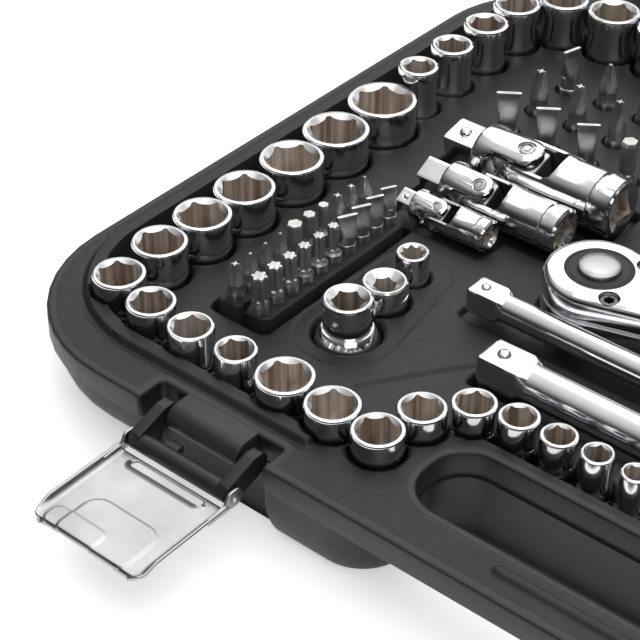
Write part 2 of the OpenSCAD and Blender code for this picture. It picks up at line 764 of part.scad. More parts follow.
module spinner_handle() {
  color([0.1, 0.1, 0.11]) corner() translate([spinner[0], spinner[1], spinner[2]]) difference() {
    rotate([0, 90, 0]) union() {
      cylinder(h = spinner_grip_l, r = spinner[3] * 0.8);
      translate([0, 0, 8]) cylinder(h = spinner_grip_l * 0.6, r = spinner[3]);
    }
    rotate([0, 90, 0]) translate([0, 0, spinner_grip_l * 0.3])
      cylinder(h = spinner_grip_l, r = 3.5 + fit);
  }
}

module spinner_shaft() {
  chrome() translate([spinner[0], spinner[1], spinner[2]]) {
    rotate([0, 90, 0]) translate([0, 0, spinner_grip_l * 0.35])
      cylinder(h = spinner_grip_l * 0.65 + spinner_shaft_l - 10, r = 3.5);
    translate([spinner_grip_l + spinner_shaft_l - 12, -inch_quarter / 2, -inch_quarter / 2])
      cube([12, inch_quarter, inch_quarter]);
  }
}

base_shell();
base_tray();
base_knuckles();
hinge_pins();
lid_shell();
lid_liner();
lid_knuckles();
latch_link(latch_x);  // latch_left_link
latch_pin_rod(latch_x);  // latch_left_pin
latch_plate(latch_x);  // latch_left_plate
latch_link(case_w - latch_x);  // latch_right_link
latch_pin_rod(case_w - latch_x);  // latch_right_pin
latch_plate(case_w - latch_x);  // latch_right_plate
sockets_quarter();
sockets_medium();
sockets_tall();
sockets_large();
sockets_star();
plug_sockets_lying();  // plug_sockets
bit_holder(holders[0]);  // holder_large
bit_holder(holders[1]);  // holder_medium
bit_holder(holders[2]);  // holder_small
drive_adapters();
ujoint_drive(ujoint_quarter);  // ujoint_quarter_drive
ujoint_cross(ujoint_quarter);  // ujoint_quarter_cross
ujoint_socket(ujoint_quarter);  // ujoint_quarter_socket
ujoint_drive(ujoint_medium);  // ujoint_medium_drive
ujoint_cross(ujoint_medium);  // ujoint_medium_cross
ujoint_socket(ujoint_medium);  // ujoint_medium_socket
ujoint_drive(ujoint_half);  // ujoint_half_drive
ujoint_cross(ujoint_half);  // ujoint_half_cross
ujoint_socket(ujoint_half);  // ujoint_half_socket
ratchet_body(ratchet_half, ratchet_half_l, 100);  // ratchet_half_body
ratchet_grip(ratchet_half, ratchet_half_l, 100);  // ratchet_half_grip
ratchet_plate(ratchet_half);  // ratchet_half_plate
ratchet_screws(ratchet_half);  // ratchet_half_screws
ratchet_button(ratchet_half);  // ratchet_half_button
ratchet_lever(ratchet_half);  // ratchet_half_lever
ratchet_drive(ratchet_half);  // ratchet_half_drive
ratchet_body(ratchet_medium, ratchet_medium_l, 85);  // ratchet_medium_body
ratchet_grip(ratchet_medium, ratchet_medium_l, 85);  // ratchet_medium_grip
ratchet_plate(ratchet_medium);  // ratchet_medium_plate
ratchet_screws(ratchet_medium);  // ratchet_medium_screws
ratchet_button(ratchet_medium);  // ratchet_medium_button
ratchet_lever(ratchet_medium);  // ratchet_medium_lever
ratchet_drive(ratchet_medium);  // ratchet_medium_drive
ratchet_body(ratchet_quarter, ratchet_quarter_l, 0);  // ratchet_quarter_body
ratchet_plate(ratchet_quarter);  // ratchet_quarter_plate
ratchet_screws(ratchet_quarter);  // ratchet_quarter_screws
ratchet_button(ratchet_quarter);  // ratchet_quarter_button
ratchet_lever(ratchet_quarter);  // ratchet_quarter_lever
ratchet_drive(ratchet_quarter);  // ratchet_quarter_drive
bit_rack();
rack_bits();
large_bits();
extension_bar(bar_half);  // extension_half
extension_bar(bar_medium);  // extension_medium
extension_bar(bar_quarter);  // extension_quarter
spinner_handle();
spinner_shaft();
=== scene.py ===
"""The looks of a socket wrench set in its case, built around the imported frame.

Shapes are worked out in millimetres from the case's front left corner, as the frame's design is,
and piece() moves them into the row frame in metres.
"""

import math

import bpy
import bmesh
import numpy as np
from mathutils import Matrix, Vector


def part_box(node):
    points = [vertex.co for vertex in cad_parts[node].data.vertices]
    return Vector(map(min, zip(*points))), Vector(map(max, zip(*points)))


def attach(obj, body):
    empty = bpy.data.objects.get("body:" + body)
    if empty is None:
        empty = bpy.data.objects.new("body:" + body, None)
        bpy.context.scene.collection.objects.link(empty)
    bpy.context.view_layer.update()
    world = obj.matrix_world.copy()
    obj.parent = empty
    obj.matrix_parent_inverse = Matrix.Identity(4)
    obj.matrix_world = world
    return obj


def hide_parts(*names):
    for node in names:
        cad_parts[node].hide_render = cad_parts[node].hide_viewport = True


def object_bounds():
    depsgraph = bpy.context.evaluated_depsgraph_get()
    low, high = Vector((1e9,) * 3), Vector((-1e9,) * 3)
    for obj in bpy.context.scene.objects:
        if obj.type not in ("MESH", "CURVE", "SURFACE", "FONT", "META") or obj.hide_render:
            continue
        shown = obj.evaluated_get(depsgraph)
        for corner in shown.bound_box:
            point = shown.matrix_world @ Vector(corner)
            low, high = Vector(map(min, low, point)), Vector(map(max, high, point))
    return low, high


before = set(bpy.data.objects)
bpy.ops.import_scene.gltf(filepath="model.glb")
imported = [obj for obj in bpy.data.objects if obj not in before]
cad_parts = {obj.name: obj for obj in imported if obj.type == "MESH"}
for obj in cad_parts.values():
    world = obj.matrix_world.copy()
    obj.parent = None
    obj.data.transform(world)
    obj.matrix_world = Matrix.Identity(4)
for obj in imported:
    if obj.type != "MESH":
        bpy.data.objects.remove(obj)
cad_low, cad_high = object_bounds()

MM = 0.001
CORNER = np.array(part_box("base_tray")[0]) / MM
CORNER[2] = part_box("base_shell")[0][2] / MM
INCH_QUARTER, INCH_MEDIUM, INCH_HALF = 6.35, 9.53, 12.7
RIM_STEPS = 96


# ---------------------------------------------------------------- shapes

def box_of(node):
    """A CAD node's lowest and highest corners, in millimetres from the case's corner."""
    low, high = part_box(node)
    return np.array(low) / MM - CORNER, np.array(high) / MM - CORNER


def solids_of(node):
    """The boxes of the separate solids in a CAD node, in millimetres from the case's corner."""
    mesh = bmesh.new()
    mesh.from_mesh(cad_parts[node].data)
    bmesh.ops.remove_doubles(mesh, verts=mesh.verts, dist=1e-6)
    boxes, seen = [], set()
    for start in mesh.verts:
        if start in seen:
            continue
        group, stack = [], [start]
        seen.add(start)
        while stack:
            vertex = stack.pop()
            group.append(vertex.co[:])
            for edge in vertex.link_edges:
                other = edge.other_vert(vertex)
                if other not in seen:
                    seen.add(other)
                    stack.append(other)
        points = np.array(group) / MM - CORNER
        boxes.append((points.min(0), points.max(0)))
    mesh.free()
    return boxes


def turn(axis, degrees):
    return np.array(Matrix.Rotation(math.radians(degrees), 4, axis))


def move(x=0, y=0, z=0):
    return np.array(Matrix.Translation((x, y, z)))


ALONG_X = np.array([[0, 0, 1, 0], [1, 0, 0, 0], [0, 1, 0, 0], [0, 0, 0, 1.0]])
ALONG_Y = np.array([[0, 1, 0, 0], [0, 0, 1, 0], [1, 0, 0, 0], [0, 0, 0, 1.0]])


def rounded(corners, steps=8):
    """A closed outline through (x, y, radius) corners, counter-clockwise, its corners as arcs."""
    points = []
    count = len(corners)
    for i, (x, y, radius) in enumerate(corners):
        here = np.array([x, y], float)
        if radius <= 0:
            points += [here] * (steps + 1)
            continue
        back = np.array(corners[i - 1][:2], float) - here
        ahead = np.array(corners[(i + 1) % count][:2], float) - here
        back /= np.linalg.norm(back)
        ahead /= np.linalg.norm(ahead)
        half = math.acos(np.clip(back @ ahead, -1, 1)) / 2
        reach = radius / math.tan(half)
        middle = here + (back + ahead) / np.linalg.norm(back + ahead) * radius / math.sin(half)
        a = here + back * reach - middle
        b = here + ahead * reach - middle
        start = math.atan2(a[1], a[0])
        sweep = (math.atan2(b[1], b[0]) - start + math.pi) % (2 * math.pi) - math.pi
        for k in range(steps + 1):
            angle = start + sweep * k / steps
            points.append(middle + radius * np.array([math.cos(angle), math.sin(angle)]))
    return np.array(points)


def inset(corners, amount):
    """The corners of an outline moved inwards, arcs kept concentric."""
    moved = []
    count = len(corners)
    for i, (x, y, radius) in enumerate(corners):
        here = np.array([x, y], float)
        before = here - np.array(corners[i - 1][:2], float)
        after = np.array(corners[(i + 1) % count][:2], float) - here
        first = np.array([-before[1], before[0]]) / np.linalg.norm(before)
        second = np.array([-after[1], after[0]]) / np.linalg.norm(after)
        x, y = here + (first + second) * amount / (1 + first @ second)
        convex = before[0] * after[1] - before[1] * after[0] > 0
        if radius > 0:
            radius = max(radius - amount if convex else radius + amount, 0.2)
        moved.append((x, y, radius))
    return moved


def rectangle(x0, y0, x1, y1, radius):
    return [(x0, y0, radius), (x1, y0, radius), (x1, y1, radius), (x0, y1, radius)]


class Shape:
    """Points and faces being collected. kind picks the material of the faces."""

    def __init__(self):
        self.points, self.faces, self.kinds, self.count = [], [], [], 0

    def add(self, points, faces, kind=0, place=None):
        points = np.asarray(points, float)
        if place is not None:
            points = points @ place[:3, :3].T + place[:3, 3]
        self.points.append(points)
        self.faces += [tuple(i + self.count for i in face) for face in faces]
        self.kinds += [kind] * len(faces)
        self.count += len(points)
        return self

    def loft(self, rings, kind=0, place=None, start=False, end=False, closed=True):
        """A skin through rings of as many points each; start and end close the two ends."""
        rings = [np.asarray(ring, float) for ring in rings]
        n = len(rings[0])
        faces = []
        for k in range(len(rings) - 1):
            for i in range(n if closed else n - 1):
                j = (i + 1) % n
                faces.append((k * n + i, k * n + j, k * n + n + j, k * n + n + i))
        if start:
            faces.append(tuple(reversed(range(n))))
        if end:
            faces.append(tuple(range((len(rings) - 1) * n, len(rings) * n)))
        return self.add(np.concatenate(rings), faces, kind, place)

    def lathe(self, profile, kind=0, place=None, steps=48):
        """A turned form: the profile is a list of (radius, z)."""
        rings = [ring_of(radius, z, circle(steps)) for radius, z in profile]
        return self.loft(rings, kind, place, profile[0][0] > 0, profile[-1][0] > 0)

    def plate(self, corners, z0, z1, bevel=0.4, place=None, steps=6):
        """A flat piece with an outline of corners, its upper and lower edges rounded."""
        turns = [math.pi / 2 * k / 3 for k in range(4)]
        edge = [(bevel * (1 - math.sin(a)), z0 + bevel * (1 - math.cos(a))) for a in turns]
        edge += [(bevel * (1 - math.cos(a)), z1 - bevel * (1 - math.sin(a))) for a in turns]
        return self.loft([outline(inset(corners, amount), z, steps) for amount, z in edge],
                         0, place, True, True)

    def block(self, low, high, bevel=0.4, place=None, corner=0.6):
        return self.plate(rectangle(low[0], low[1], high[0], high[1], corner), low[2], high[2],
                          bevel, place)


def circle(steps):
    """Angles all the way round a circle."""
    return np.arange(steps) * 2 * math.pi / steps


def ring_of(radius, z, angles):
    """Points round the Z axis. The radius and z are one value each, or one for each angle."""
    return np.stack([radius * np.cos(angles), radius * np.sin(angles),
                     np.broadcast_to(z, angles.shape)], 1)


def level(points, z):
    return np.column_stack([points, np.full(len(points), float(z))])


def outline(corners, z, steps):
    return level(rounded(corners, steps), z)


def scaled(rows, by):
    return [tuple(value * by for value in row) for row in rows]


def in_scene(name, data):
    made = bpy.data.objects.new(name, data)
    bpy.context.scene.collection.objects.link(made)
    return made


def riding(name, mesh, body, replaces):
    """An object of the visual model, riding on a body and standing in for CAD nodes."""
    made = in_scene(name, mesh)
    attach(made, body)
    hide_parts(*replaces)
    return made


def piece(name, shape, materials, body, replaces, sharp=32):
    """Makes the Blender object of a shape. Edges sharper than sharp degrees stay crisp."""
    points = (np.concatenate(shape.points) + CORNER) * MM
    mesh = bpy.data.meshes.new(name)
    mesh.from_pydata(points.tolist(), [], shape.faces)
    mesh.polygons.foreach_set("material_index", shape.kinds)
    mesh.polygons.foreach_set("use_smooth", [True] * len(shape.faces))
    mesh.update()
    mesh.set_sharp_from_angle(angle=math.radians(sharp))
    for material in materials if isinstance(materials, list) else [materials]:
        mesh.materials.append(material)
    return riding(name, mesh, body, replaces)


# ---------------------------------------------------------------- materials

class Nodes:
    """A material's node tree, with short calls to add and join nodes."""

    def __init__(self, name, **values):
        self.material = bpy.data.materials.new(name)
        self.material.use_nodes = True
        self.tree = self.material.node_tree
        self.shader = self.tree.nodes["Principled BSDF"]
        for key, value in values.items():
            self.shader.inputs[key.replace("_", " ")].default_value = value
        self.place = self.add("ShaderNodeTexCoord").outputs["Object"]

    def add(self, kind, **values):
        node = self.tree.nodes.new(kind)
        for key, value in values.items():
            setattr(node, key, value)
        return node

    def join(self, source, target):
        self.tree.links.new(source, target)

    def noise(self, scale, detail=4, roughness=0.55, stretch=None):
        node = self.add("ShaderNodeTexNoise")
        node.inputs["Scale"].default_value = scale
        node.inputs["Detail"].default_value = detail
        node.inputs["Roughness"].default_value = roughness
        source = self.place
        if stretch:
            mapping = self.add("ShaderNodeMapping")
            mapping.inputs["Scale"].default_value = stretch
            self.join(source, mapping.inputs["Vector"])
            source = mapping.outputs["Vector"]
        self.join(source, node.inputs["Vector"])
        return node.outputs["Fac"]

    def span(self, source, low, high, start=0.3, stop=0.7):
        """A grey source from start to stop, spread over low to high."""
        node = self.add("ShaderNodeMapRange")
        ends = {"From Min": start, "From Max": stop, "To Min": low, "To Max": high}
        for key, value in ends.items():
            node.inputs[key].default_value = value
        self.join(source, node.inputs["Value"])
        return node.outputs["Result"]

    def blend(self, factor, first, second):
        node = self.add("ShaderNodeMix", data_type="RGBA")
        self.join(factor, node.inputs["Factor"])
        for index, colour in ((6, first), (7, second)):
            if isinstance(colour, tuple):
                node.inputs[index].default_value = (*colour, 1)
            else:
                self.join(colour, node.inputs[index])
        return node.outputs[2]

    def edges(self, start=0.52, stop=0.58):
        """White on outward edges, from the mesh's own curvature: the mask of the painted edge highlights."""
        point = self.add("ShaderNodeNewGeometry").outputs["Pointiness"]
        return self.span(point, 0, 1, start, stop)

    def colour(self, source):
        self.join(source, self.shader.inputs["Base Color"])

    def rough(self, source):
        self.join(source, self.shader.inputs["Roughness"])

    def bump(self, source, strength, distance):
        node = self.add("ShaderNodeBump")
        node.inputs["Strength"].default_value = strength
        node.inputs["Distance"].default_value = distance
        self.join(source, node.inputs["Height"])
        previous = self.shader.inputs["Normal"]
        if previous.is_linked:
            self.join(previous.links[0].from_socket, node.inputs["Normal"])
        self.join(node.outputs["Normal"], previous)


def plastic(name, dark, light, low, high, grain=0.25, shine=0.5):
    """Moulded plastic with a fine spark-eroded grain, faint flow streaks and a painted highlight along its
    outward edges.
    """
    n = Nodes(name, Specular_IOR_Level=shine)
    tone = n.span(n.noise(38, 5), 0, 1, 0.35, 0.65)
    # Random tone, plus a painted highlight: outward edges, found from the mesh's curvature, get a lighter
    # colour.
    tone_and_painted_highlight = n.blend(n.edges(0.515, 0.56), n.blend(tone, dark, light),
                   tuple(min(1, c * 1.5) for c in light))
    n.colour(tone_and_painted_highlight)
    n.rough(n.span(n.noise(420, 6, 0.7), low, high))
    n.bump(n.noise(2600, 3, 0.6), grain, 0.00006)
    n.bump(n.noise(90, 4, 0.5, (1, 0.12, 1)), 0.12, 0.0002)
    return n.material


BRUSHED = (0.1, 1, 1)


def bright_metal(name, dark, light, low, high, brush=(1, 1, 1), depth=0.08):
    """Plated steel: long faint polishing waves, cloudy sheen and small handling marks."""
    n = Nodes(name, Metallic=1.0)
    n.colour(n.blend(n.span(n.noise(60, 4), 0, 1), dark, light))
    n.rough(n.span(n.noise(140, 6, 0.65), low, high))
    n.bump(n.noise(75, 3, 0.5, brush), depth, 0.0003)
    n.bump(n.noise(900, 4, 0.6, brush), depth * 0.6, 0.00004)
    return n.material


def bore_metal(name):
    """Unpolished plating inside a mouth: brownish, with broaching streaks along its depth."""
    n = Nodes(name, Metallic=0.75)
    streaks = n.span(n.noise(420, 3, 0.5, (1, 1, 0.03)), 0, 1, 0.36, 0.64)
    n.colour(n.blend(streaks, (0.40, 0.31, 0.24), (0.96, 0.91, 0.86)))
    n.rough(n.span(n.noise(200, 4), 0.30, 0.46))
    n.bump(n.noise(420, 3, 0.5, (1, 1, 0.03)), 0.35, 0.0002)
    return n.material


def dark_steel(name, dark, light):
    """Phosphated tool steel, with a painted highlight along its outward edges."""
    n = Nodes(name, Metallic=1.0)
    cloud = n.span(n.noise(160, 5), 0, 1)
    body = n.blend(cloud, (dark, dark, dark * 0.96), (light, light, light * 0.96))
    # Painted highlight: outward edges, found from the mesh's curvature, get a brighter colour.
    n.colour(n.blend(n.edges(0.53, 0.64), body, (light * 1.6, light * 1.6, light * 1.55)))
    n.rough(n.span(n.noise(500, 5), 0.34, 0.52))
    n.bump(n.noise(1400, 4, 0.6, (1, 1, 0.15)), 0.18, 0.00005)
    return n.material


def rubber(name):
    n = Nodes(name, Specular_IOR_Level=0.35)
    n.colour(n.blend(n.span(n.noise(55, 5), 0, 1), (0.012, 0.012, 0.013), (0.03, 0.03, 0.032)))
    n.rough(n.span(n.noise(600, 5), 0.5, 0.72))
    n.bump(n.noise(1500, 4), 0.3, 0.00008)
    return n.material


CASE = plastic("case_plastic", (0.008, 0.008, 0.0083), (0.013, 0.013, 0.0134), 0.42, 0.54)
TRAY = plastic("tray_plastic", (0.007, 0.007, 0.0073), (0.012, 0.012, 0.0124), 0.44, 0.58, 0.32, 0.42)
NYLON = plastic("latch_nylon", (0.008, 0.008, 0.0083), (0.012, 0.012, 0.0125), 0.34, 0.46, 0.15, 0.42)
DARK = plastic("dark_cover", (0.006, 0.006, 0.0065), (0.010, 0.010, 0.0105), 0.35, 0.48, 0.1, 0.35)
CHROME = bright_metal("chrome", (0.74, 0.74, 0.755), (0.85, 0.85, 0.865), 0.09, 0.18)
RIM = bright_metal("rim_chrome", (0.62, 0.62, 0.625), (0.74, 0.74, 0.745), 0.20, 0.32)
SATIN = bright_metal("satin_steel", (0.44, 0.44, 0.44), (0.54, 0.54, 0.54), 0.26, 0.38, BRUSHED, 0.05)
PLATE = bright_metal("latch_steel", (0.37, 0.375, 0.38), (0.47, 0.475, 0.48), 0.26, 0.38, BRUSHED, 0.05)
BORE = bore_metal("bore_steel")
BIT = dark_steel("bit_steel", 0.38, 0.54)
SCREW = dark_steel("screw_steel", 0.09, 0.16)
RUBBER = rubber("rack_rubber")


# ---------------------------------------------------------------- sockets

def hexagon_radius(across, angles, relief=True):
    """The six-point mouth: flats, and a rounded groove cut into each corner."""
    phase = (angles + math.pi / 6) % (math.pi / 3) - math.pi / 6
    flat = across / 2 / np.cos(phase)
    if not relief:
        return flat
    near = np.clip((np.degrees(np.abs(phase)) - 21) / 4, 0, 1)
    return np.minimum(flat, across / 2 * 1.085) + near * near * (3 - 2 * near) * across * 0.035


def square_radius(side, angles):
    phase = (angles + math.pi / 4) % (math.pi / 2) - math.pi / 4
    return np.minimum(side / 2 / np.cos(phase), side * 0.68)


def star_radius(across, angles):
    return across / 2 * (1 + 0.10 * np.cos(6 * angles))


def socket(name, low, high, across, square, outer, body, replaces, place, mouth_depth=0.55,
           radius_of=hexagon_radius, spin=0.0, flat=0.45, lean=0.75):
    """A socket between two heights. outer lists (radius, height) upwards, and True where knurled."""
    angles = circle(RIM_STEPS)
    tooth = 1 - 0.022 * (np.arange(RIM_STEPS) % 2)
    rings = [ring_of(radius * (tooth if knurled else 1), low + z, angles)
             for radius, z, *knurled in outer]
    mouth = radius_of(across, angles)
    hole = square_radius(square, angles)
    chamfer = mouth.max() + (outer[-1][0] - mouth.max()) * flat
    floor_z = high - (high - low) * mouth_depth
    rings += [ring_of(chamfer, high, angles), ring_of(mouth, high - (chamfer - mouth) * lean, angles),
              ring_of(mouth, floor_z, angles), ring_of(hole, floor_z - 0.2, angles),
              ring_of(hole, low, angles), rings[0]]
    shape = Shape()
    for k, kind in enumerate([0] * (len(outer) - 1) + [2, 2, 1, 1, 1, 0]):
        shape.loft(rings[k:k + 2], kind, place @ turn("Z", spin))
    piece(name, weld(shape), [CHROME, BORE, RIM], body, replaces, 28)


def weld(shape):
    """Joins the equal points of a shape, so that smooth shading runs across its bands."""
    points = np.concatenate(shape.points)
    keys, first, back = np.unique(np.round(points, 4), axis=0, return_index=True, return_inverse=True)
    back = back.reshape(-1)
    joined = Shape()
    joined.points = [points[first]]
    for face, kind in zip(shape.faces, shape.kinds):
        loop = []
        for i in face:
            if not loop or back[i] != loop[-1]:
                loop.append(int(back[i]))
        if loop[0] == loop[-1]:
            loop.pop()
        if len(loop) > 2:
            joined.faces.append(tuple(loop))
            joined.kinds.append(kind)
    joined.count = len(first)
    return joined


def short_profile(rim_r, base_r, length):
    """A short socket: wide head, a soft step to a narrower body, knurled near its foot."""
    neck = max(base_r, rim_r - 0.15)
    return [
        (base_r - 0.8, 0), (base_r, 0.8), (base_r, length * 0.46), (neck - 0.1, length * 0.48),
        (neck, length * 0.495, True), (neck, length * 0.575, True), (neck - 0.25, length * 0.59),
        (rim_r - 0.1, length * 0.64), (rim_r, length * 0.70), (rim_r, length - 0.9),
        (rim_r - 0.08, length - 0.55), (rim_r - 0.3, length - 0.2), (rim_r - 0.75, length)]


def small_profile(rim_r, base_r, length):
    """A small socket whose drive end is wider than its head."""
    return [
        (base_r - 0.6, 0), (base_r, 0.6), (base_r, length * 0.16), (base_r, length * 0.17, True),
        (base_r, length * 0.36, True), (base_r, length * 0.37), (base_r, length * 0.46),
        (rim_r, length * 0.54), (rim_r, length - 0.7), (rim_r - 0.2, length - 0.2),
        (rim_r - 0.55, length)]


def tall_profile(rim_r, base_r, length):
    """A half-inch drive socket: waisted body over a knurled band and a plain ring."""
    waist = min(rim_r - 0.45, base_r - 0.3) if rim_r < base_r + 1.5 else rim_r - 0.5
    return [
        (base_r - 0.8, 0), (base_r, 0.8), (base_r, length * 0.30), (base_r - 0.35, length * 0.31),
        (base_r - 0.2, length * 0.325, True), (base_r - 0.2, length * 0.42, True),
        (base_r - 0.35, length * 0.435), (base_r, length * 0.445), (base_r - 0.1, length * 0.48),
        (waist, length * 0.55), (waist, length * 0.80), (rim_r, length * 0.87), (rim_r, length - 1.0),
        (rim_r - 0.25, length - 0.35), (rim_r - 0.8, length)]


def narrow_or_short(rim_r, base_r, length):
    return (small_profile if base_r > rim_r else short_profile)(rim_r, base_r, length)


def radii(at_ten, growth, least, narrower):
    """Rim and base radii by size: the outside diameter at size 10, and what each size adds."""
    def of(size, outer):
        rim = (at_ten + growth * (size - 10)) / 2
        return rim, max(least, rim - narrower)
    return of


# Each socket's size in millimetres and where it stands in the tray
QUARTER_ROW = [
    (14, 111, 31), (13, 131.5, 30), (12, 150, 29.5), (11, 154, 46.5), (10, 165, 59),
    (9, 179.5, 62.5), (8, 194, 63), (7, 207.5, 63.5), (6, 221, 63.5), (5.5, 234.5, 63.5),
    (5, 248, 63.5), (4.5, 261.5, 62.5), (4, 275, 59)]
MEDIUM_ROW = [
    (10, 90, 31), (11, 70.5, 30.5), (12, 51, 32), (13, 31.5, 36.5), (14, 29, 59), (15, 29, 81),
    (16, 29, 103.5), (17, 29, 130), (18, 29, 156), (19, 29, 184.5)]
TALL_ROW = [
    (10, 29, 207.5), (11, 29, 230), (12, 29, 253.5), (13, 29, 275.5), (14, 41.5, 292.5), (15, 64, 296),
    (16, 88, 297), (17, 113.5, 296.5), (18, 140, 296), (19, 167.5, 295.5), (20, 196.5, 295),
    (21, 226.5, 294), (22, 258, 293.5), (24, 291, 292.5)]
LARGE_ROW = [(27, 327.5), (30, 369), (32, 404)]


def nearest(row):
    """The size of the row's socket that stands closest to a place."""
    return lambda x, y: min(row, key=lambda spot: math.hypot(spot[1] - x, spot[2] - y))[0]


def socket_row(node, size_at, square_of, profile, radii_of, star=False):
    """Every socket of a CAD node. Each mouth is turned a little more than the one before."""
    for number, (low, high) in enumerate(solids_of(node)):
        x, y = (low[:2] + high[:2]) / 2
        size = size_at(x, y)
        rim, base = radii_of(size, (high[0] - low[0]) / 2)
        socket(f"{node}_{number + 1}", low[2], high[2], size * (0.7 if star else 1.0), square_of(size),
               profile(rim, base, high[2] - low[2]), node, [node], move(x, y),
               radius_of=star_radius if star else hexagon_radius, spin=(37 * number) % 60)


def all_sockets():
    tall = radii(16.2, 1.2, 8.8, 0.6)
    socket_row("sockets_quarter", nearest(QUARTER_ROW), lambda size: INCH_QUARTER, narrow_or_short,
               radii(14.8, 1.31, 5.75, 0.5))
    socket_row("sockets_medium", nearest(MEDIUM_ROW), lambda size: INCH_MEDIUM, narrow_or_short,
               radii(14.7, 1.4, 8.4, 0.3))
    socket_row("sockets_tall", nearest(TALL_ROW),
               lambda size: INCH_MEDIUM if size < 14 else INCH_HALF, tall_profile, tall)
    socket_row("sockets_large", lambda x, y: min(LARGE_ROW, key=lambda spot: abs(spot[1] - x))[0],
               lambda size: INCH_HALF, tall_profile, tall)
    socket_row("sockets_star", lambda x, y: round(11 + (x - 290) / 19.8), lambda size: INCH_QUARTER,
               short_profile, lambda size, outer: (outer, outer - 0.3), True)
    for number, (low, high) in enumerate(solids_of("plug_sockets")):
        outer, length = (high[0] - low[0]) / 2, high[1] - low[1]
        centre = (low + high) / 2
        socket(f"plug_socket_{number + 1}", 0, length, 21 if outer > 12 else 16, INCH_HALF,
               tall_profile(outer, outer - 0.5, length), "plug_sockets", ["plug_sockets"],
               move(centre[0], low[1], centre[2]) @ ALONG_Y)


# ---------------------------------------------------------------- the case

WIDE, DEEP = (box_of("base_shell")[1] - box_of("base_shell")[0])[:2]
PARTING = box_of("base_tray")[1][2] - 2
RIM_Z = PARTING - 0.06
TRAY_Z = PARTING - 6
LIP_RISE = 2
BAND_BOTTOM = PARTING - 9.5
BELLY_R = 16
CASE_R = 55
LATCH_X = (102, WIDE - 102)
LATCH_HALF = 26
LATCH_DEPTH = 11
SLOT = (WIDE / 2 - 53, 18.5, WIDE / 2 + 53, 48.5)
SLOT_R = 13
PLATEAU = (140, -20, WIDE - 140, 54)
OPENING = (5, 16, WIDE - 5, DEEP - 8)
LIP_W = 6
HINGE_Y = DEEP + 6
WELL_GAP = 0.9
RIB = (208, 9, 300, 12)
TRAY_LINE = ((121, 55), (144, 87.5))
HOLDER_OUTLINE_R, HOLDER_TAPER = 18.5, 4
WELL_EDGE_R = 0.9
LID_HOLLOW = (12, 19, WIDE - 12, DEEP - 12)
LID_DEPTH = 22
HANDLE_Z = {"half": 33, "medium": 32.5, "quarter": 32}
GRIP_ROOM = {"half": 13, "medium": 11.5, "quarter": 8.5}
SHAFT_ROOM = {"half": 7.8, "medium": 6.2, "quarter": 4.8}


def rectangle_field(x, y, box, radius):
    """Distance to a rounded rectangle, negative inside."""
    qx = np.abs(x - (box[0] + box[2]) / 2) - (box[2] - box[0]) / 2 + radius
    qy = np.abs(y - (box[1] + box[3]) / 2) - (box[3] - box[1]) / 2 + radius
    return np.hypot(np.maximum(qx, 0), np.maximum(qy, 0)) + np.minimum(np.maximum(qx, qy), 0) - radius


def field_of(box, radius):
    return lambda x, y: rectangle_field(x, y, box, radius)


opening_field = field_of(OPENING, 50)
plateau_field = field_of(PLATEAU, 8)
slot_field = field_of(SLOT, SLOT_R)
rib_field = field_of(RIB, 1.4)
handle_field = field_of((SLOT[0] - 2.5, -20, SLOT[2] + 2.5, SLOT[3] + 2.5), 14.5)


def smooth(t):
    t = np.clip(t, 0, 1)
    return t * t * (3 - 2 * t)


def rim_field(x, y):
    """Distance to the half's edge with its latch recesses, negative on the plastic."""
    edge = rectangle_field(x, y, (0, 0, WIDE, DEEP), CASE_R)
    for cx in LATCH_X:
        notch = (cx - LATCH_HALF, -20, cx + LATCH_HALF, LATCH_DEPTH)
        edge = np.maximum(edge, -rectangle_field(x, y, notch, 2))
    return edge


def top_field(x, y):
    """The part of the top that a relief covers, negative inside."""
    return np.maximum(rim_field(x, y) + 2.4, 2.0 - slot_field(x, y))


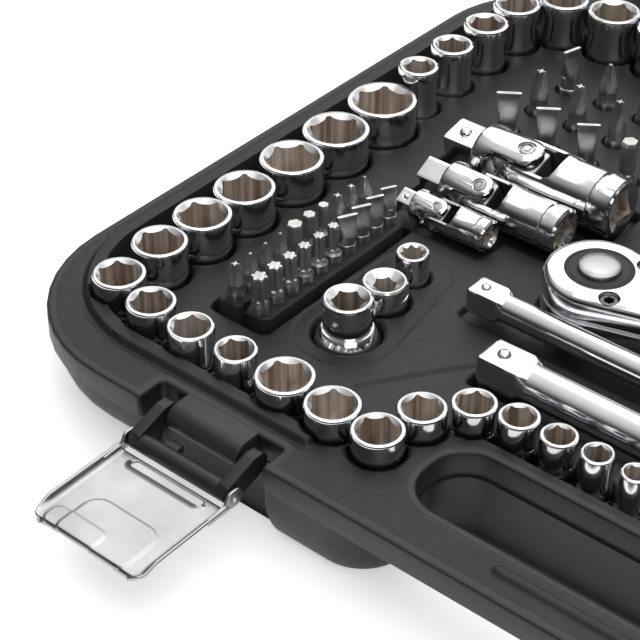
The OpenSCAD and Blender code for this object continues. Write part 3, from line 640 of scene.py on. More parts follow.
def hollows():
    """Every hollow of the tray: a distance function and its floor's height."""
    found = []

    def well(cx, cy, radius, floor):
        found.append((lambda x, y: np.hypot(x - cx, y - cy) - radius, floor))

    def trough(box, radius, floor):
        found.append((field_of(box, radius), floor))

    for node in ("sockets_quarter", "sockets_medium", "sockets_tall", "sockets_large", "sockets_star",
                 "holder_large", "holder_medium", "holder_small", "drive_adapters", "large_bits"):
        for low, high in solids_of(node):
            x, y = (low[:2] + high[:2]) / 2
            well(x, y, (high[0] - low[0]) / 2 + (0.5 if node == "large_bits" else WELL_GAP), low[2])
    for size in ("quarter", "medium", "half"):
        drive, body = box_of(f"ujoint_{size}_drive"), box_of(f"ujoint_{size}_socket")
        trough((drive[0][0] - 2, body[0][1] - 1.2, body[1][0] + 2, body[1][1] + 1.2), 2.5,
               body[0][2] - 0.5)
        low, high = box_of(f"ratchet_{size}_body")
        plate = box_of(f"ratchet_{size}_plate")
        middle = (plate[0] + plate[1]) / 2
        head = middle[0] - low[0]
        well(middle[0], middle[1], head + WELL_GAP, low[2] - 0.5)
        drive = box_of(f"ratchet_{size}_drive")
        well(middle[0], middle[1], (head + WELL_GAP) * 0.62, drive[0][2] - 1)
        grip = GRIP_ROOM[size]
        end = high[0] if size == "quarter" else box_of(f"ratchet_{size}_grip")[1][0]
        trough((middle[0] + 5, middle[1] - grip, end + 2, middle[1] + grip), 4, HANDLE_Z[size] - grip)
        low, high = box_of(f"extension_{size}")
        y, r = (low[1] + high[1]) / 2, (high[1] - low[1]) / 2
        shaft = SHAFT_ROOM[size]
        trough((low[0] - 1.7, y - shaft, high[0] + 1.5, y + shaft), 2, low[2] - 0.5)
        trough((high[0] - r * 2.1, y - r - WELL_GAP, high[0] + 1.5, y + r + WELL_GAP), 2, low[2] - 0.5)
    for low, high in solids_of("plug_sockets") + [box_of("spinner_handle"), box_of("bit_rack")]:
        end = box_of("spinner_shaft")[1][0] if low[1] > 200 else high[0]
        trough((low[0] - 1.5, low[1] - 1.5, end + 1.5, high[1] + 1.5), 2.5, low[2] - 0.5)
    return found


HOLLOWS = hollows()
HOLDER_CENTRES = [(np.add(*box_of(f"holder_{s}")) / 2)[:2] for s in ("large", "medium", "small")]


def hollow_field(x, y):
    return np.minimum.reduce([field(x, y) for field, _ in HOLLOWS])


def pocket_field(x, y):
    """The sunk floor of the tray, negative inside."""
    return np.maximum(opening_field(x, y) + LIP_W, -plateau_field(x, y))


def along(x, y, start, stop):
    """Distance to a straight line between two points, and how far along it, from 0 to 1."""
    (ax, ay), (bx, by) = start, stop
    t = ((x - ax) * (bx - ax) + (y - ay) * (by - ay)) / ((bx - ax) ** 2 + (by - ay) ** 2)
    t = np.clip(t, 0, 1)
    return np.hypot(x - ax - t * (bx - ax), y - ay - t * (by - ay)), t


def holder_field(x, y):
    """Distance to the tapering outline pressed round the bit holders, negative inside."""
    distance, t = along(x, y, HOLDER_CENTRES[0], HOLDER_CENTRES[2])
    return distance - HOLDER_OUTLINE_R + HOLDER_TAPER * t


def rim_height(x, y):
    """The flat rim of a half, its edges rounded off outside and round the handle's slot."""
    z = np.full(x.shape, float(RIM_Z))
    z -= 0.15 * (1 - smooth((-2.5 - rim_field(x, y)) / 1.0))
    return z - 0.15 * (1 - smooth((slot_field(x, y) - 2.1) / 0.8))


def base_height(x, y):
    """The base half's upper face: rim, lip, tray, plateau round the slot, and all its hollows."""
    opening, plateau = opening_field(x, y), plateau_field(x, y)
    z = rim_height(x, y)
    lip = smooth(-opening / 1.1) * smooth((plateau - 7) / 1.6) * smooth((opening + LIP_W + 1.2) / 1.2)
    z += LIP_RISE * lip
    z -= 0.5 * np.exp(-(((opening - 0.8) / 0.7) ** 2)) * smooth((plateau - 7) / 1.6)
    z += 1.3 * (1 - smooth((rib_field(x, y) + 0.2) / 0.8))
    floor = TRAY_Z - 0.45 * (1 - smooth((holder_field(x, y) + 0.3) / 0.7))
    floor -= 1.0 * (1 - smooth((along(x, y, *TRAY_LINE)[0] - 0.3) / 0.9))
    z = floor + (z - floor) * smooth((pocket_field(x, y) + 1.5) / 1.5)
    surface = z.copy()
    soft = WELL_EDGE_R
    for field, bottom in HOLLOWS:
        d = field(x, y)
        lift = np.where(d < soft, soft - np.sqrt(np.clip(soft ** 2 - (soft - d) ** 2, 0, None)), 0)
        depth = np.clip(-d / soft, 0, 1)
        wall = surface - soft + (bottom - surface + soft) * depth
        z = np.minimum(z, np.where(d >= soft, surface, np.where(d > 0, surface - lift, wall)))
    return z


def lid_height(x, y):
    """The lid's inner face: rim, a groove for the base's lip, and the deep hollow."""
    opening, plateau, handle = opening_field(x, y), plateau_field(x, y), handle_field(x, y)
    beyond = smooth((plateau - 5) / 1)
    z = rim_height(x, y)
    z -= (LIP_RISE + 0.5) * smooth((0.8 - opening) / 0.8) * (beyond + smooth(handle / 1) * (1 - beyond))
    z -= 1.8 * (1 - smooth((rib_field(x, y) - 0.8) / 0.8))
    hollow = np.maximum(rectangle_field(x, y, LID_HOLLOW, 34), -handle)
    depth = PARTING - LID_DEPTH
    return depth + (z - depth) * smooth((hollow + 2.4) / 2.4)


def drawn_onto(x, y, field, target, reach, free=True):
    """The points of a grid, those within reach of a field's line moved onto it."""
    tiny = 0.02
    off = field(x, y) - target
    gx = (field(x + tiny, y) - field(x - tiny, y)) / (2 * tiny)
    gy = (field(x, y + tiny) - field(x, y - tiny)) / (2 * tiny)
    near = free & (np.abs(off) < reach)
    return np.where(near, x - gx * off, x), np.where(near, y - gy * off, y), near


def grid_faces(keep):
    """The faces of a grid whose four points are all kept, counter-clockwise."""
    index = np.arange(keep.size).reshape(keep.shape)
    whole = keep[:-1, :-1] & keep[1:, :-1] & keep[:-1, 1:] & keep[1:, 1:]
    return np.stack([index[:-1, :-1], index[:-1, 1:], index[1:, 1:], index[1:, :-1]], -1)[whole]


def relief(name, height, edges, flipped, body, replaces, cell=0.8):
    """A fine sheet over the top of a half. Its points are drawn onto the sharp edges first."""
    x, y = np.meshgrid(np.arange(0, WIDE + cell, cell), np.arange(0, DEEP + cell, cell))
    free = np.ones(x.shape, bool)
    for field, target in edges:
        reach = cell * (0.72 if field is top_field else 0.5)
        x, y, near = drawn_onto(x, y, field, target, reach, free)
        free &= ~near
    quads = grid_faces(top_field(x, y) < 0.05)
    z = height(x, y)
    if flipped:
        y = 2 * HINGE_Y - y
        quads = quads[:, ::-1]
    used, corners = np.unique(quads, return_inverse=True)
    points = (np.stack([x, y, z], -1).reshape(-1, 3)[used] + CORNER) * MM
    mesh = bpy.data.meshes.new(name)
    mesh.vertices.add(len(points))
    mesh.vertices.foreach_set("co", points.ravel())
    mesh.loops.add(corners.size)
    mesh.loops.foreach_set("vertex_index", corners.ravel())
    mesh.polygons.add(len(quads))
    mesh.polygons.foreach_set("loop_start", np.arange(len(quads)) * 4)
    mesh.update(calc_edges=True)
    mesh.polygons.foreach_set("use_smooth", np.ones(len(quads), bool))
    mesh.set_sharp_from_angle(angle=math.radians(50))
    mesh.materials.append(TRAY)
    riding(name, mesh, body, replaces)


def half_corners(edge, latch_r, mouth_r, handle):
    """A half's outline, counter-clockwise, with its latch recesses and its handle's notch."""
    def recess(cx):
        return [(cx - LATCH_HALF, edge, latch_r), (cx - LATCH_HALF, LATCH_DEPTH, latch_r),
                (cx + LATCH_HALF, LATCH_DEPTH, latch_r), (cx + LATCH_HALF, edge, latch_r)]

    if handle:
        notch = [(SLOT[0], edge, mouth_r), (SLOT[0], SLOT[3], SLOT_R), (SLOT[2], SLOT[3], SLOT_R),
                 (SLOT[2], edge, mouth_r)]
    else:
        notch = [(SLOT[0], edge, 0), (SLOT[0] + 0.01, edge, 0), (SLOT[2] - 0.01, edge, 0),
                 (SLOT[2], edge, 0)]
    return ([(edge, edge, CASE_R - edge)] + recess(LATCH_X[0]) + notch + recess(LATCH_X[1])
            + [(WIDE - edge, edge, CASE_R - edge), (WIDE - edge, DEEP - edge, CASE_R - edge),
               (edge, DEEP - edge, CASE_R - edge)])


def drawn_in(belly, amount):
    """The belly's outline lower down: drawn in all round, but upright at its recesses and slot."""
    ring = inset(belly, amount)
    for i in (1, 2, 3, 4, 9, 10, 11, 12):
        side = 1 if i in (3, 4, 11, 12) else -1
        front = {4: 0.4, 9: 0.4, 2: -0.2, 3: -0.2, 10: -0.2, 11: -0.2}.get(i)
        y = ring[i][1] if front is None else belly[i][1] + amount * front
        ring[i] = (belly[i][0] + side * amount * 0.25, y, belly[i][2])
    for i in (5, 6, 7, 8):
        lean = 0.4 if i in (5, 8) else -0.3
        ring[i] = (belly[i][0], belly[i][1] + amount * lean, belly[i][2])
    return ring


def half_shell(name, flipped, body, replaces):
    """A half's outer skin: rounded belly, a step, the band, its rounded edge and the slot."""
    steps = 10
    belly = half_corners(3, 1.2, 16, True)
    for i in (4, 5, 8, 9):
        belly[i] = (belly[i][0], 0.9, belly[i][2])
    for i in (6, 7):
        belly[i] = (belly[i][0], SLOT[3] - 1, belly[i][2])
    band = half_corners(0, 1.6, 0, False)
    shape = Shape()
    rings = [outline(drawn_in(belly, BELLY_R + 0.5), 0, steps)]
    for a in np.linspace(0, math.pi / 2, 13):
        rings.append(outline(drawn_in(belly, BELLY_R * (1 - math.sin(a))), BELLY_R * (1 - math.cos(a)),
                             steps))
    rings += [outline(belly, z, steps) for z in (BAND_BOTTOM - 0.4, BAND_BOTTOM)]
    shape.loft(rings, start=True)
    lower = outline(inset(band, 0.9), BAND_BOTTOM, steps)
    upper = rings[-1]
    first, last = 5 * (steps + 1), 9 * (steps + 1) - 1
    order = np.r_[last:len(lower), 0:first + 1]
    shape.loft([upper[order], lower[order]], closed=False)
    for corner in (first, last - steps):
        arc_points = upper[corner:corner + steps + 1]
        shape.loft([arc_points, arc_points * (1, 0, 1) + (0, 0.9, 0)], closed=False)
    edge = [(0.9, BAND_BOTTOM), (0.3, BAND_BOTTOM + 0.25), (0, BAND_BOTTOM + 0.9), (0, PARTING - 1.3),
            (0.1, PARTING - 0.8), (0.4, PARTING - 0.35), (0.85, PARTING - 0.12), (1.4, RIM_Z),
            (3.1, RIM_Z), (3.3, PARTING - 0.6), (5, PARTING - 1.2)]
    shape.loft([outline(inset(band, t), z, steps) for t, z in edge])
    slot = rectangle(*SLOT, SLOT_R)
    wall = [(-4.6, PARTING - 1.2), (-2.9, PARTING - 0.6), (-2.7, RIM_Z), (-1.4, RIM_Z),
            (-0.7, PARTING - 0.15), (-0.2, PARTING - 0.6), (0, PARTING - 1.3), (0, BAND_BOTTOM),
            (1, BAND_BOTTOM)]
    shape.loft([outline(inset(slot, t), z, steps) for t, z in wall])
    front = rounded([(SLOT[0], SLOT[3] - 13, 0), (SLOT[0], SLOT[1], SLOT_R), (SLOT[2], SLOT[1], SLOT_R),
                     (SLOT[2], SLOT[3] - 13, 0)], steps)
    line = np.column_stack([front[:, 0], np.full(len(front), 0.9)])
    shape.loft([level(line, BAND_BOTTOM), level(front, BAND_BOTTOM)], closed=False)
    if flipped:
        shape.points = [points * (1, -1, 1) + (0, 2 * HINGE_Y, 0) for points in shape.points]
        shape.faces = [face[::-1] for face in shape.faces]
    piece(name, weld(shape), CASE, body, replaces, 38)


def case_halves():
    half_shell("base_outer_shell", False, "case_base", ["base_shell"])
    half_shell("lid_outer_shell", True, "lid", ["lid_shell"])
    edges = [(top_field, 0), (hollow_field, 0), (hollow_field, -WELL_EDGE_R), (pocket_field, 0),
             (pocket_field, -1.5), (holder_field, 0.4), (holder_field, -0.3)]
    relief("base_tray_relief", base_height, edges, False, "case_base", ["base_tray"])
    relief("lid_liner_relief", lid_height, [(top_field, 0)], True, "lid", ["lid_liner"], 1.6)


# ---------------------------------------------------------------- carving

def object_of(shape):
    welded = weld(shape)
    mesh = bpy.data.meshes.new("carving")
    mesh.from_pydata(np.concatenate(welded.points).tolist(), [], welded.faces)
    mesh.update()
    return in_scene("carving", mesh)


def carved(body, cutters=(), keep=(), bevel=0.35, angle=30):
    """The body with cutters taken out, cut to what it shares with keep, and its edges rounded."""
    made = object_of(body)
    others = []
    for operation, shapes in (("INTERSECT", keep), ("DIFFERENCE", cutters)):
        for other in shapes:
            others.append(object_of(other))
            cut = made.modifiers.new("cut", "BOOLEAN")
            cut.operation, cut.object, cut.solver = operation, others[-1], "EXACT"
    if bevel:
        edge = made.modifiers.new("edge", "BEVEL")
        edge.width, edge.segments, edge.limit_method = bevel, 2, "ANGLE"
        edge.angle_limit = math.radians(angle)
    bpy.context.view_layer.update()
    mesh = made.evaluated_get(bpy.context.evaluated_depsgraph_get()).to_mesh()
    result = Shape()
    result.add([v.co[:] for v in mesh.vertices], [tuple(p.vertices) for p in mesh.polygons])
    for used in [made] + others:
        bpy.data.objects.remove(used)
    return result


def merged(*shapes):
    whole = Shape()
    for shape in shapes:
        for face, kind in zip(shape.faces, shape.kinds):
            whole.faces.append(tuple(i + whole.count for i in face))
            whole.kinds.append(kind)
        whole.points += shape.points
        whole.count += shape.count
    return whole


def placed(shape, place):
    shape.points = [points @ place[:3, :3].T + place[:3, 3] for points in shape.points]
    return shape


def tube(radius, z0, z1, steps):
    return Shape().lathe([(radius, z0), (radius, z1)], steps=steps)


def prism(corners, z0, z1, steps=6):
    return Shape().loft([outline(corners, z, steps) for z in (z0, z1)], start=True, end=True)


def square_bar(side, z0, z1, tip, blend_r=0.0, blend_l=0.0):
    """A square drive along Z, its tip bevelled at z0, growing into a round bar of blend_r."""
    angles = circle(64)
    square = square_radius(side, angles)
    bevels = ((0.68, 0), (0.82, 0.14), (0.92, 0.4), (0.98, 0.7), (1, 1))
    rings = [ring_of(square * share, z0 + tip * rise, angles) for share, rise in bevels]
    rings.append(ring_of(square, z1, angles))
    if blend_l:
        for t in (0.33, 0.66, 1.0):
            rings.append(ring_of(square + (blend_r - square) * t, z1 + blend_l * t, angles))
    return Shape().loft(rings, start=True, end=True)


def ball(radius, place):
    """A detent ball's cap, flattened, standing on the XY plane."""
    cap = [(math.cos(a), math.sin(a) * 0.7) for a in np.radians([0, 22, 45, 67])]
    return Shape().lathe(scaled([(0, -0.2)] + cap + [(0, 0.7)], radius), 0, place, 24)


# ---------------------------------------------------------------- universal joints

JOINT_RADIUS = {"quarter": 6.5, "medium": 9.2, "half": 12}
JOINT_ROLL = {"quarter": 28, "medium": 28, "half": 12}


def fork_plan(radius, arm, body_to):
    """Seen along its pin, a fork's outline: a round-ended ear that widens into the body."""
    wide, ear = radius * 1.2, radius * arm
    flank = [(radius * 0.95, ear, radius * 0.25), (radius * 1.2, radius * 0.78, radius * 0.2),
             (radius * 1.42, wide, 0.2), (body_to + 1, wide, 0)]
    corners = [(-ear, -ear, ear * 0.995)] + [(x, -y, r) for x, y, r in flank] + flank[::-1]
    corners.append((-ear, ear, ear * 0.995))
    return prism(corners, -radius - 1, radius + 1, 10)


def fork_cuts(radius):
    """The gap between a fork's ears, and the two holes for the cross."""
    gap = scaled([(-2, -0.62, 0), (1.24, -0.62, 0.2), (1.24, 0.62, 0.2), (-2, 0.62, 0)], radius)
    cuts = [placed(prism(gap, -radius * 1.3, radius * 1.3), turn("X", 90))]
    for side in (0, 180):
        cuts.append(placed(tube(radius * 0.30, radius * 0.86, radius * 1.3, 40), turn("X", side)))
    return cuts


def universal_joint(size, square):
    """Two forks turned out of drums and the cross between them, rolled a little about X."""
    name = f"ujoint_{size}"
    centre = sum(box_of(f"{name}_cross")) / 2
    radius = JOINT_RADIUS[size]
    here = move(*centre) @ turn("X", JOINT_ROLL[size])
    reach = centre[0] - box_of(f"{name}_drive")[0][0]
    drum = Shape().lathe(scaled([(0.86, -0.56), (0.96, -0.42), (0.995, -0.1), (0.995, 1.55),
                                 (0.93, 1.68), (0.80, 1.74)], radius), place=ALONG_X, steps=64)
    fork = placed(carved(drum, fork_cuts(radius), [fork_plan(radius, 0.54, radius * 1.75)], 0.3),
                  turn("Z", 180))
    drive = placed(square_bar(square, -reach, -radius * 1.6, square * 0.13), ALONG_X)
    parts = [fork, drive]
    if size != "medium":
        spot = move(-reach + square * 0.58, 0, square / 2)
        parts.append(ball(square * 0.2, spot @ move(z=-0.1)))
        parts.append(Shape().lathe([(square * 0.2, 0), (square * 0.27, 0.12), (square * 0.29, -0.1)],
                                   place=spot))
    piece(f"{name}_drive_fork", placed(merged(*parts), here), CHROME, f"{name}_drive",
          [f"{name}_drive"], 30)

    length = box_of(f"{name}_socket")[1][0] - centre[0]
    band = length - radius * 0.62
    ears = scaled([(0.84, -0.69), (0.94, -0.5), (0.985, -0.1), (0.985, 1.5), (0.955, 1.62)], radius)
    drum = Shape().lathe(ears + [
        (radius * 0.955, band - radius * 0.16), (radius * 0.89, band - radius * 0.11),
        (radius * 0.89, band - 0.02), (radius * 0.97, band + 0.25), (radius * 0.97, length - 0.9),
        (radius * 0.97 - 0.9, length)], place=ALONG_X, steps=72)
    hole = prism(rectangle(length - square * 1.2, -square / 2, length + 2, square / 2, 0.3),
                 -square / 2, square / 2)
    mouth = Shape().lathe([(square * 0.5, length - 1.4), (square * 0.80, length + 0.3)], place=ALONG_X)
    fork = carved(drum, fork_cuts(radius) + [hole, mouth], [fork_plan(radius, 0.67, length)], 0.3)
    for index, face in enumerate(fork.faces):
        middle = fork.points[0][list(face)].mean(0)
        inside = math.hypot(middle[1], middle[2]) < square * 0.66 and middle[0] > length - square * 1.3
        fork.kinds[index] = 1 if inside and middle[0] < length - 0.7 else 0
    piece(f"{name}_socket_fork", placed(fork, here @ turn("X", 90)), [CHROME, BORE],
          f"{name}_socket", [f"{name}_socket"], 30)

    half = radius * 0.54
    block = Shape().plate(rectangle(-half, -half, half, half, radius * 0.12), -half, half, radius * 0.08)
    pin = scaled([(0, -0.96), (0.10, -0.955), (0.12, -0.92), (0.16, -0.92), (0.19, -0.965),
                  (0.235, -0.95), (0.255, -0.90)], radius)
    pin += [(r, -z) for r, z in pin[::-1]]
    for axis in (move(), turn("X", 90)):
        block.lathe(pin, place=axis, steps=32)
    piece(f"{name}_cross_block", placed(block, here), SATIN, f"{name}_cross",
          [f"{name}_cross"], 30)


# ---------------------------------------------------------------- ratchets

def pear(big, reach, small, steps=40):
    """Outline of a round head drawn out to a round end at reach, counter-clockwise from below."""
    lean = math.acos((big - small) / reach)
    points = [(big * math.cos(a), big * math.sin(a))
              for a in np.linspace(lean, 2 * math.pi - lean, steps)]
    points += [(reach + small * math.cos(a), small * math.sin(a))
               for a in np.linspace(-lean, lean, steps // 3)]
    return np.array(points)


def rubber_grip(body, low, high):
    """A swelling grip with six pairs of lengthwise ridges and two ring grooves at each end."""
    r, length, middle = (high[1] - low[1]) / 2, high[0] - low[0], (low + high) / 2
    angles = circle(60)
    ridged = np.abs(((angles * 6 / math.pi) % 2) - 1) > 0.75
    rings = []
    for k in range(61):
        t = k / 60
        swell = 0.86 + 0.14 * math.sin(math.pi * min(1, t * 1.15)) ** 0.7
        end = min(1, math.sqrt(max(0, 1 - max(0, (t - 0.95) / 0.05) ** 2)) + 0.02)
        start = 0.8 + 0.2 * float(smooth(t / 0.05))
        ridge = 1 - 0.05 * ridged * (0.12 < t < 0.85)
        band = 0.94 if k in (6, 7, 53, 54) else 1
        rings.append(ring_of(r * swell * end * start * band * ridge, length * t, angles))
    grip = Shape().loft(rings, place=move(low[0], middle[1], middle[2]) @ ALONG_X, start=True, end=True)
    piece(f"{body}_rubber_grip", grip, RUBBER, body, [f"{body}_grip"], 30)


def ratchet(size, square):
    """A pear-shaped head and handle, cover plate, screws, button, lever and drive gear."""
    body = f"ratchet_{size}"
    low, high = box_of(f"{body}_body")
    plate_low, plate_high = box_of(f"{body}_plate")
    centre = (plate_low + plate_high) / 2
    head, top, thick = centre[0] - low[0], high[2], high[2] - low[2]
    gear = (plate_high[0] - plate_low[0]) / 2
    here = move(centre[0], centre[1], top)
    reach, neck = head * 2.0, head * 0.42
    seam = -thick * 0.42

    def ring(shrink, z):
        return level(pear(head - shrink, reach, max(neck - shrink, 0.6)), z)

    outer = Shape().loft([
        ring(3.2, -thick), ring(1.0, -thick + 0.6), ring(0.2, -thick + 1.9), ring(0.15, seam - 1.0),
        ring(0.5, seam - 0.5), ring(1.0, seam - 0.4), ring(1.0, seam + 0.1), ring(0.25, seam + 0.3),
        ring(0, seam + 0.9), ring(0, -3.2), ring(0.35, -1.9), ring(1.1, -0.9), ring(2.3, -0.25),
        ring(3.6, 0)], start=True, end=True)
    cuts = [tube(gear + 0.15, -thick + 3, 1, 64), tube(square * 0.75 + 0.2, -thick - 1, -thick + 4, 48)]
    screw_r = head * 0.17
    screw_spots = [move(head * 0.6, side * head * 0.62) for side in (-1, 1)]
    cuts += [placed(tube(screw_r * 1.12, -2.6, 1, 32), spot) for spot in screw_spots]
    lever_spot = move(head * 1.3, 0)
    cuts.append(placed(tube(head * 0.17, -thick * 0.35, 1, 32), lever_spot))
    handle_line = move(z=HANDLE_Z[size] - top) @ ALONG_X
    shaft = head * 0.36
    grip_box = box_of(f"{body}_grip") if size != "quarter" else None
    shaft_end = (grip_box[0][0] if grip_box else high[0]) - centre[0]
    rod = Shape().lathe([(shaft * 0.8, head * 1.3), (shaft * 1.25, head * 1.75), (shaft * 1.1, head * 2.2),
                         (shaft, head * 2.8), (shaft, shaft_end - 6), (shaft * 1.12, shaft_end - 3),
                         (shaft * 1.12, shaft_end - 0.6), (shaft, shaft_end)],
                        place=handle_line, steps=40)
    head_shape = carved(outer, cuts, (), 0.3, 35)
    if size == "quarter":
        rod.loft([ring_of(shaft * (1 + 0.05 * ((np.arange(60) + k) % 2)), shaft_end - 50 + k * 3,
                          circle(60)) for k in range(14)], place=handle_line)
    piece(f"{body}_head_and_handle", placed(merged(head_shape, rod), here), CHROME, body,
          [f"{body}_body"], 30)

    if grip_box:
        rubber_grip(body, *grip_box)
    cover = Shape().lathe([(gear * 0.55, -2.4), (gear, -2.4), (gear, -0.25), (gear - 0.3, 0.0),
                           (gear * 0.93, 0.02), (gear * 0.92, -0.12), (gear * 0.90, -0.12),
                           (gear * 0.89, 0.02), (gear * 0.64, 0.02), (gear * 0.62, -0.3),
                           (gear * 0.60, -0.3), (gear * 0.60, -2.4)], steps=72)
    piece(f"{body}_cover_plate", placed(cover, here), DARK, body, [f"{body}_plate"], 30)

    screws = Shape()
    star = star_radius(screw_r * 1.05, circle(48))
    levels = ((screw_r, -thick * 0.38), (screw_r, -1.5), (screw_r * 0.88, -1.05), (star * 1.08, -1.0),
              (star, -1.15), (star, -2.6))
    for spot in screw_spots:
        screws.loft([ring_of(radius, z, circle(48)) for radius, z in levels], place=spot, start=True,
                    end=True)
    piece(f"{body}_star_screws", placed(screws, here), SCREW, body, [f"{body}_screws"], 30)

    press = head * 0.385
    dome = [(press * math.cos(a), 0.9 + press * 0.24 * math.sin(a))
            for a in np.radians([0, 12, 26, 42, 58, 74])]
    button = Shape().lathe([(0, -3.3), (press * 0.3, -3.3), (press * 0.3, -2.3), (press, -2.3)] + dome
                           + [(0, 0.9 + press * 0.24)], steps=64)
    piece(f"{body}_release_button", placed(button, here), SATIN, f"{body}_button",
          [f"{body}_button"], 24)

    half = [(-0.24, -0.24, 0.23), (0.3, -0.2, 0.1), (0.66, -0.12, 0.11)]
    half += [(x, -y, radius) for x, y, radius in half[::-1]]
    lever = Shape().plate(scaled(half, head), 0.35, 2.3, 0.6)
    lever.lathe([(head * 0.15, -thick * 0.28), (head * 0.15, 0.6)])
    for k in range(3):
        lever.block((head * (0.36 + 0.1 * k), -head * 0.09, 2.1),
                    (head * (0.40 + 0.1 * k), head * 0.09, 2.7), 0.15, corner=0.2)
    piece(f"{body}_reverse_lever", placed(lever, here @ lever_spot), DARK, f"{body}_lever",
          [f"{body}_lever"], 30)

    teeth = gear * 0.97 - 0.5 * (np.arange(144) % 2)
    gearwheel = Shape().loft([ring_of(teeth, z, circle(144)) for z in (-thick + 3.5, -5.2)],
                             start=True, end=True)
    gearwheel.lathe([(square * 0.73, -thick - 0.4), (square * 0.73, -thick + 3.8)])
    stub = square_bar(square, -thick - square, -thick, 1.2)
    detent = ball(square * 0.2, turn("Y", 90) @ move(thick + square * 0.5, 0, square / 2))
    gearwheel = merged(gearwheel, stub, detent)
    piece(f"{body}_drive_gear", placed(gearwheel, here), CHROME, f"{body}_drive",
          [f"{body}_drive"], 30)


# ---------------------------------------------------------------- bars, holders and bits

def extension_bar(size, square, shaft, tip):
    """An extension bar along X: bevelled square end with its ball, shaft, and a square socket."""
    low, high = box_of(f"extension_{size}")
    centre = (low + high) / 2
    length, end_r = high[0] - low[0], (high[1] - low[1]) / 2
    bar = square_bar(square, 0, square * 1.22, tip, shaft, square * 0.35)
    start = square * 1.57
    neck = length - square * 1.8
    bar.lathe([(shaft * 0.98, start - 0.2), (shaft, start), (shaft, neck - 2),
               (shaft * 1.08, neck - 0.5)])
    female = Shape().lathe([(shaft * 1.05, neck - 1.5), (end_r - 0.9, neck + 0.6), (end_r, neck + 2),
                            (end_r, length - 5), (end_r - 0.6, length - 4.4), (end_r - 0.6, length - 3.6),
                            (end_r, length - 3), (end_r, length - 0.8), (end_r - 0.8, length)], steps=64)
    hole = prism(rectangle(-square / 2, -square / 2, square / 2, square / 2, 0.3), length - square,
                 length + 1)
    female = carved(female, [hole], (), 0.25)
    pip = ball(square * 0.19, turn("X", -90) @ move(0, -square * 0.6, square / 2 - 0.1))
    whole = placed(merged(bar, female, pip), move(low[0], centre[1], centre[2]) @ ALONG_X)
    piece(f"extension_{size}_bar", whole, CHROME, f"extension_{size}",
          [f"extension_{size}"], 26)


def holder_profile(size, base, length):
    """A bit holder's outside, upwards, as (radius, height)."""
    if size == "large":
        rim = 8.9
        return [(base - 1, 0), (base, 1.2), (base, length - 17.5), (base - 0.3, length - 16.2),
                (rim + 0.9, length - 13), (rim + 0.15, length - 12.2), (rim - 0.5, length - 12),
                (rim - 0.3, length - 11.6), (rim - 0.3, length - 3.1), (rim - 0.8, length - 2.9),
                (rim - 0.8, length - 2.4), (rim, length - 2.1), (rim, length - 1),
                (rim - 0.4, length - 0.3), (rim - 0.9, length)]
    if size == "medium":
        return [(base - 0.8, 0), (base - 0.15, 0.8), (base - 0.15, length - 5.2),
                (base - 0.6, length - 5), (base - 0.6, length - 4.4), (base, length - 4.1),
                (base, length - 1.6), (base - 0.3, length - 0.6), (7.5, length)]
    return [(base - 0.6, 0), (base, 0.6), (base, length * 0.965), (base - 0.2, length * 0.99),
            (base - 0.6, length)]


def bit_holder(size, square, across, spin, flat, mouth):
    """A socket for bits that stands in the tray; the large one has a detent ball in its side."""
    low, high = box_of(f"holder_{size}")
    centre = (low + high) / 2
    outer = holder_profile(size, (high[0] - low[0]) / 2, high[2] - low[2])
    socket(f"holder_{size}_body", low[2], high[2], across, square, outer, "bit_holders",
           [f"holder_{size}"], move(centre[0], centre[1]), 0.5, mouth, spin, flat, 0.62)
    if size == "large":
        side = (centre[0] + 0.9, centre[1] - 8.4, high[2] - 7)
        pin = ball(1.2, move(side[0], side[1] - 0.05, side[2]) @ turn("X", 90))
        pin.lathe([(1.35, 0.05), (1.55, 0.3), (1.8, 0.3), (2.0, -0.2)], place=move(*side) @ turn("X", 90))
        piece("holder_large_detent", pin, SATIN, "bit_holders", ["holder_large"])


def notched_radius(across, angles):
    """A square mouth with a half-round groove in the middle of each side."""
    side = square_radius(across * 0.8, angles)
    near = (angles + math.pi / 4) % (math.pi / 2) - math.pi / 4
    return side + across * 0.14 * np.exp(-((near / 0.2) ** 2))


def tip_radius(kind, angles, t, size):
    """A bit's radius round its tip: t runs from 0 at the shoulder to 1 at the end."""
    if kind == "star":
        return size * (0.86 + 0.14 * np.cos(6 * angles)) * (1.0 if t < 0.93 else 0.92)
    if kind == "hex":
        return hexagon_radius(size * 1.8, angles, False) * (1.0 if t < 0.95 else 0.9)
    if kind == "blade":
        thin = size * (0.85 - 0.66 * smooth(t * 1.25))
        wide = size * (0.80 + 0.28 * t)
        return 1 / ((np.abs(np.cos(angles)) / thin) ** 5 + (np.abs(np.sin(angles)) / wide) ** 5) ** 0.2
    cross = np.abs(np.sin(2 * angles)) ** (0.55 if kind == "cross" else 0.8)
    taper = 1 - (0.48 if kind == "cross" else 0.74) * max(0.0, (t - 0.15) / 0.85) ** 1.1
    return size * taper * (1 - min(0.62, 0.95 * t) * cross)


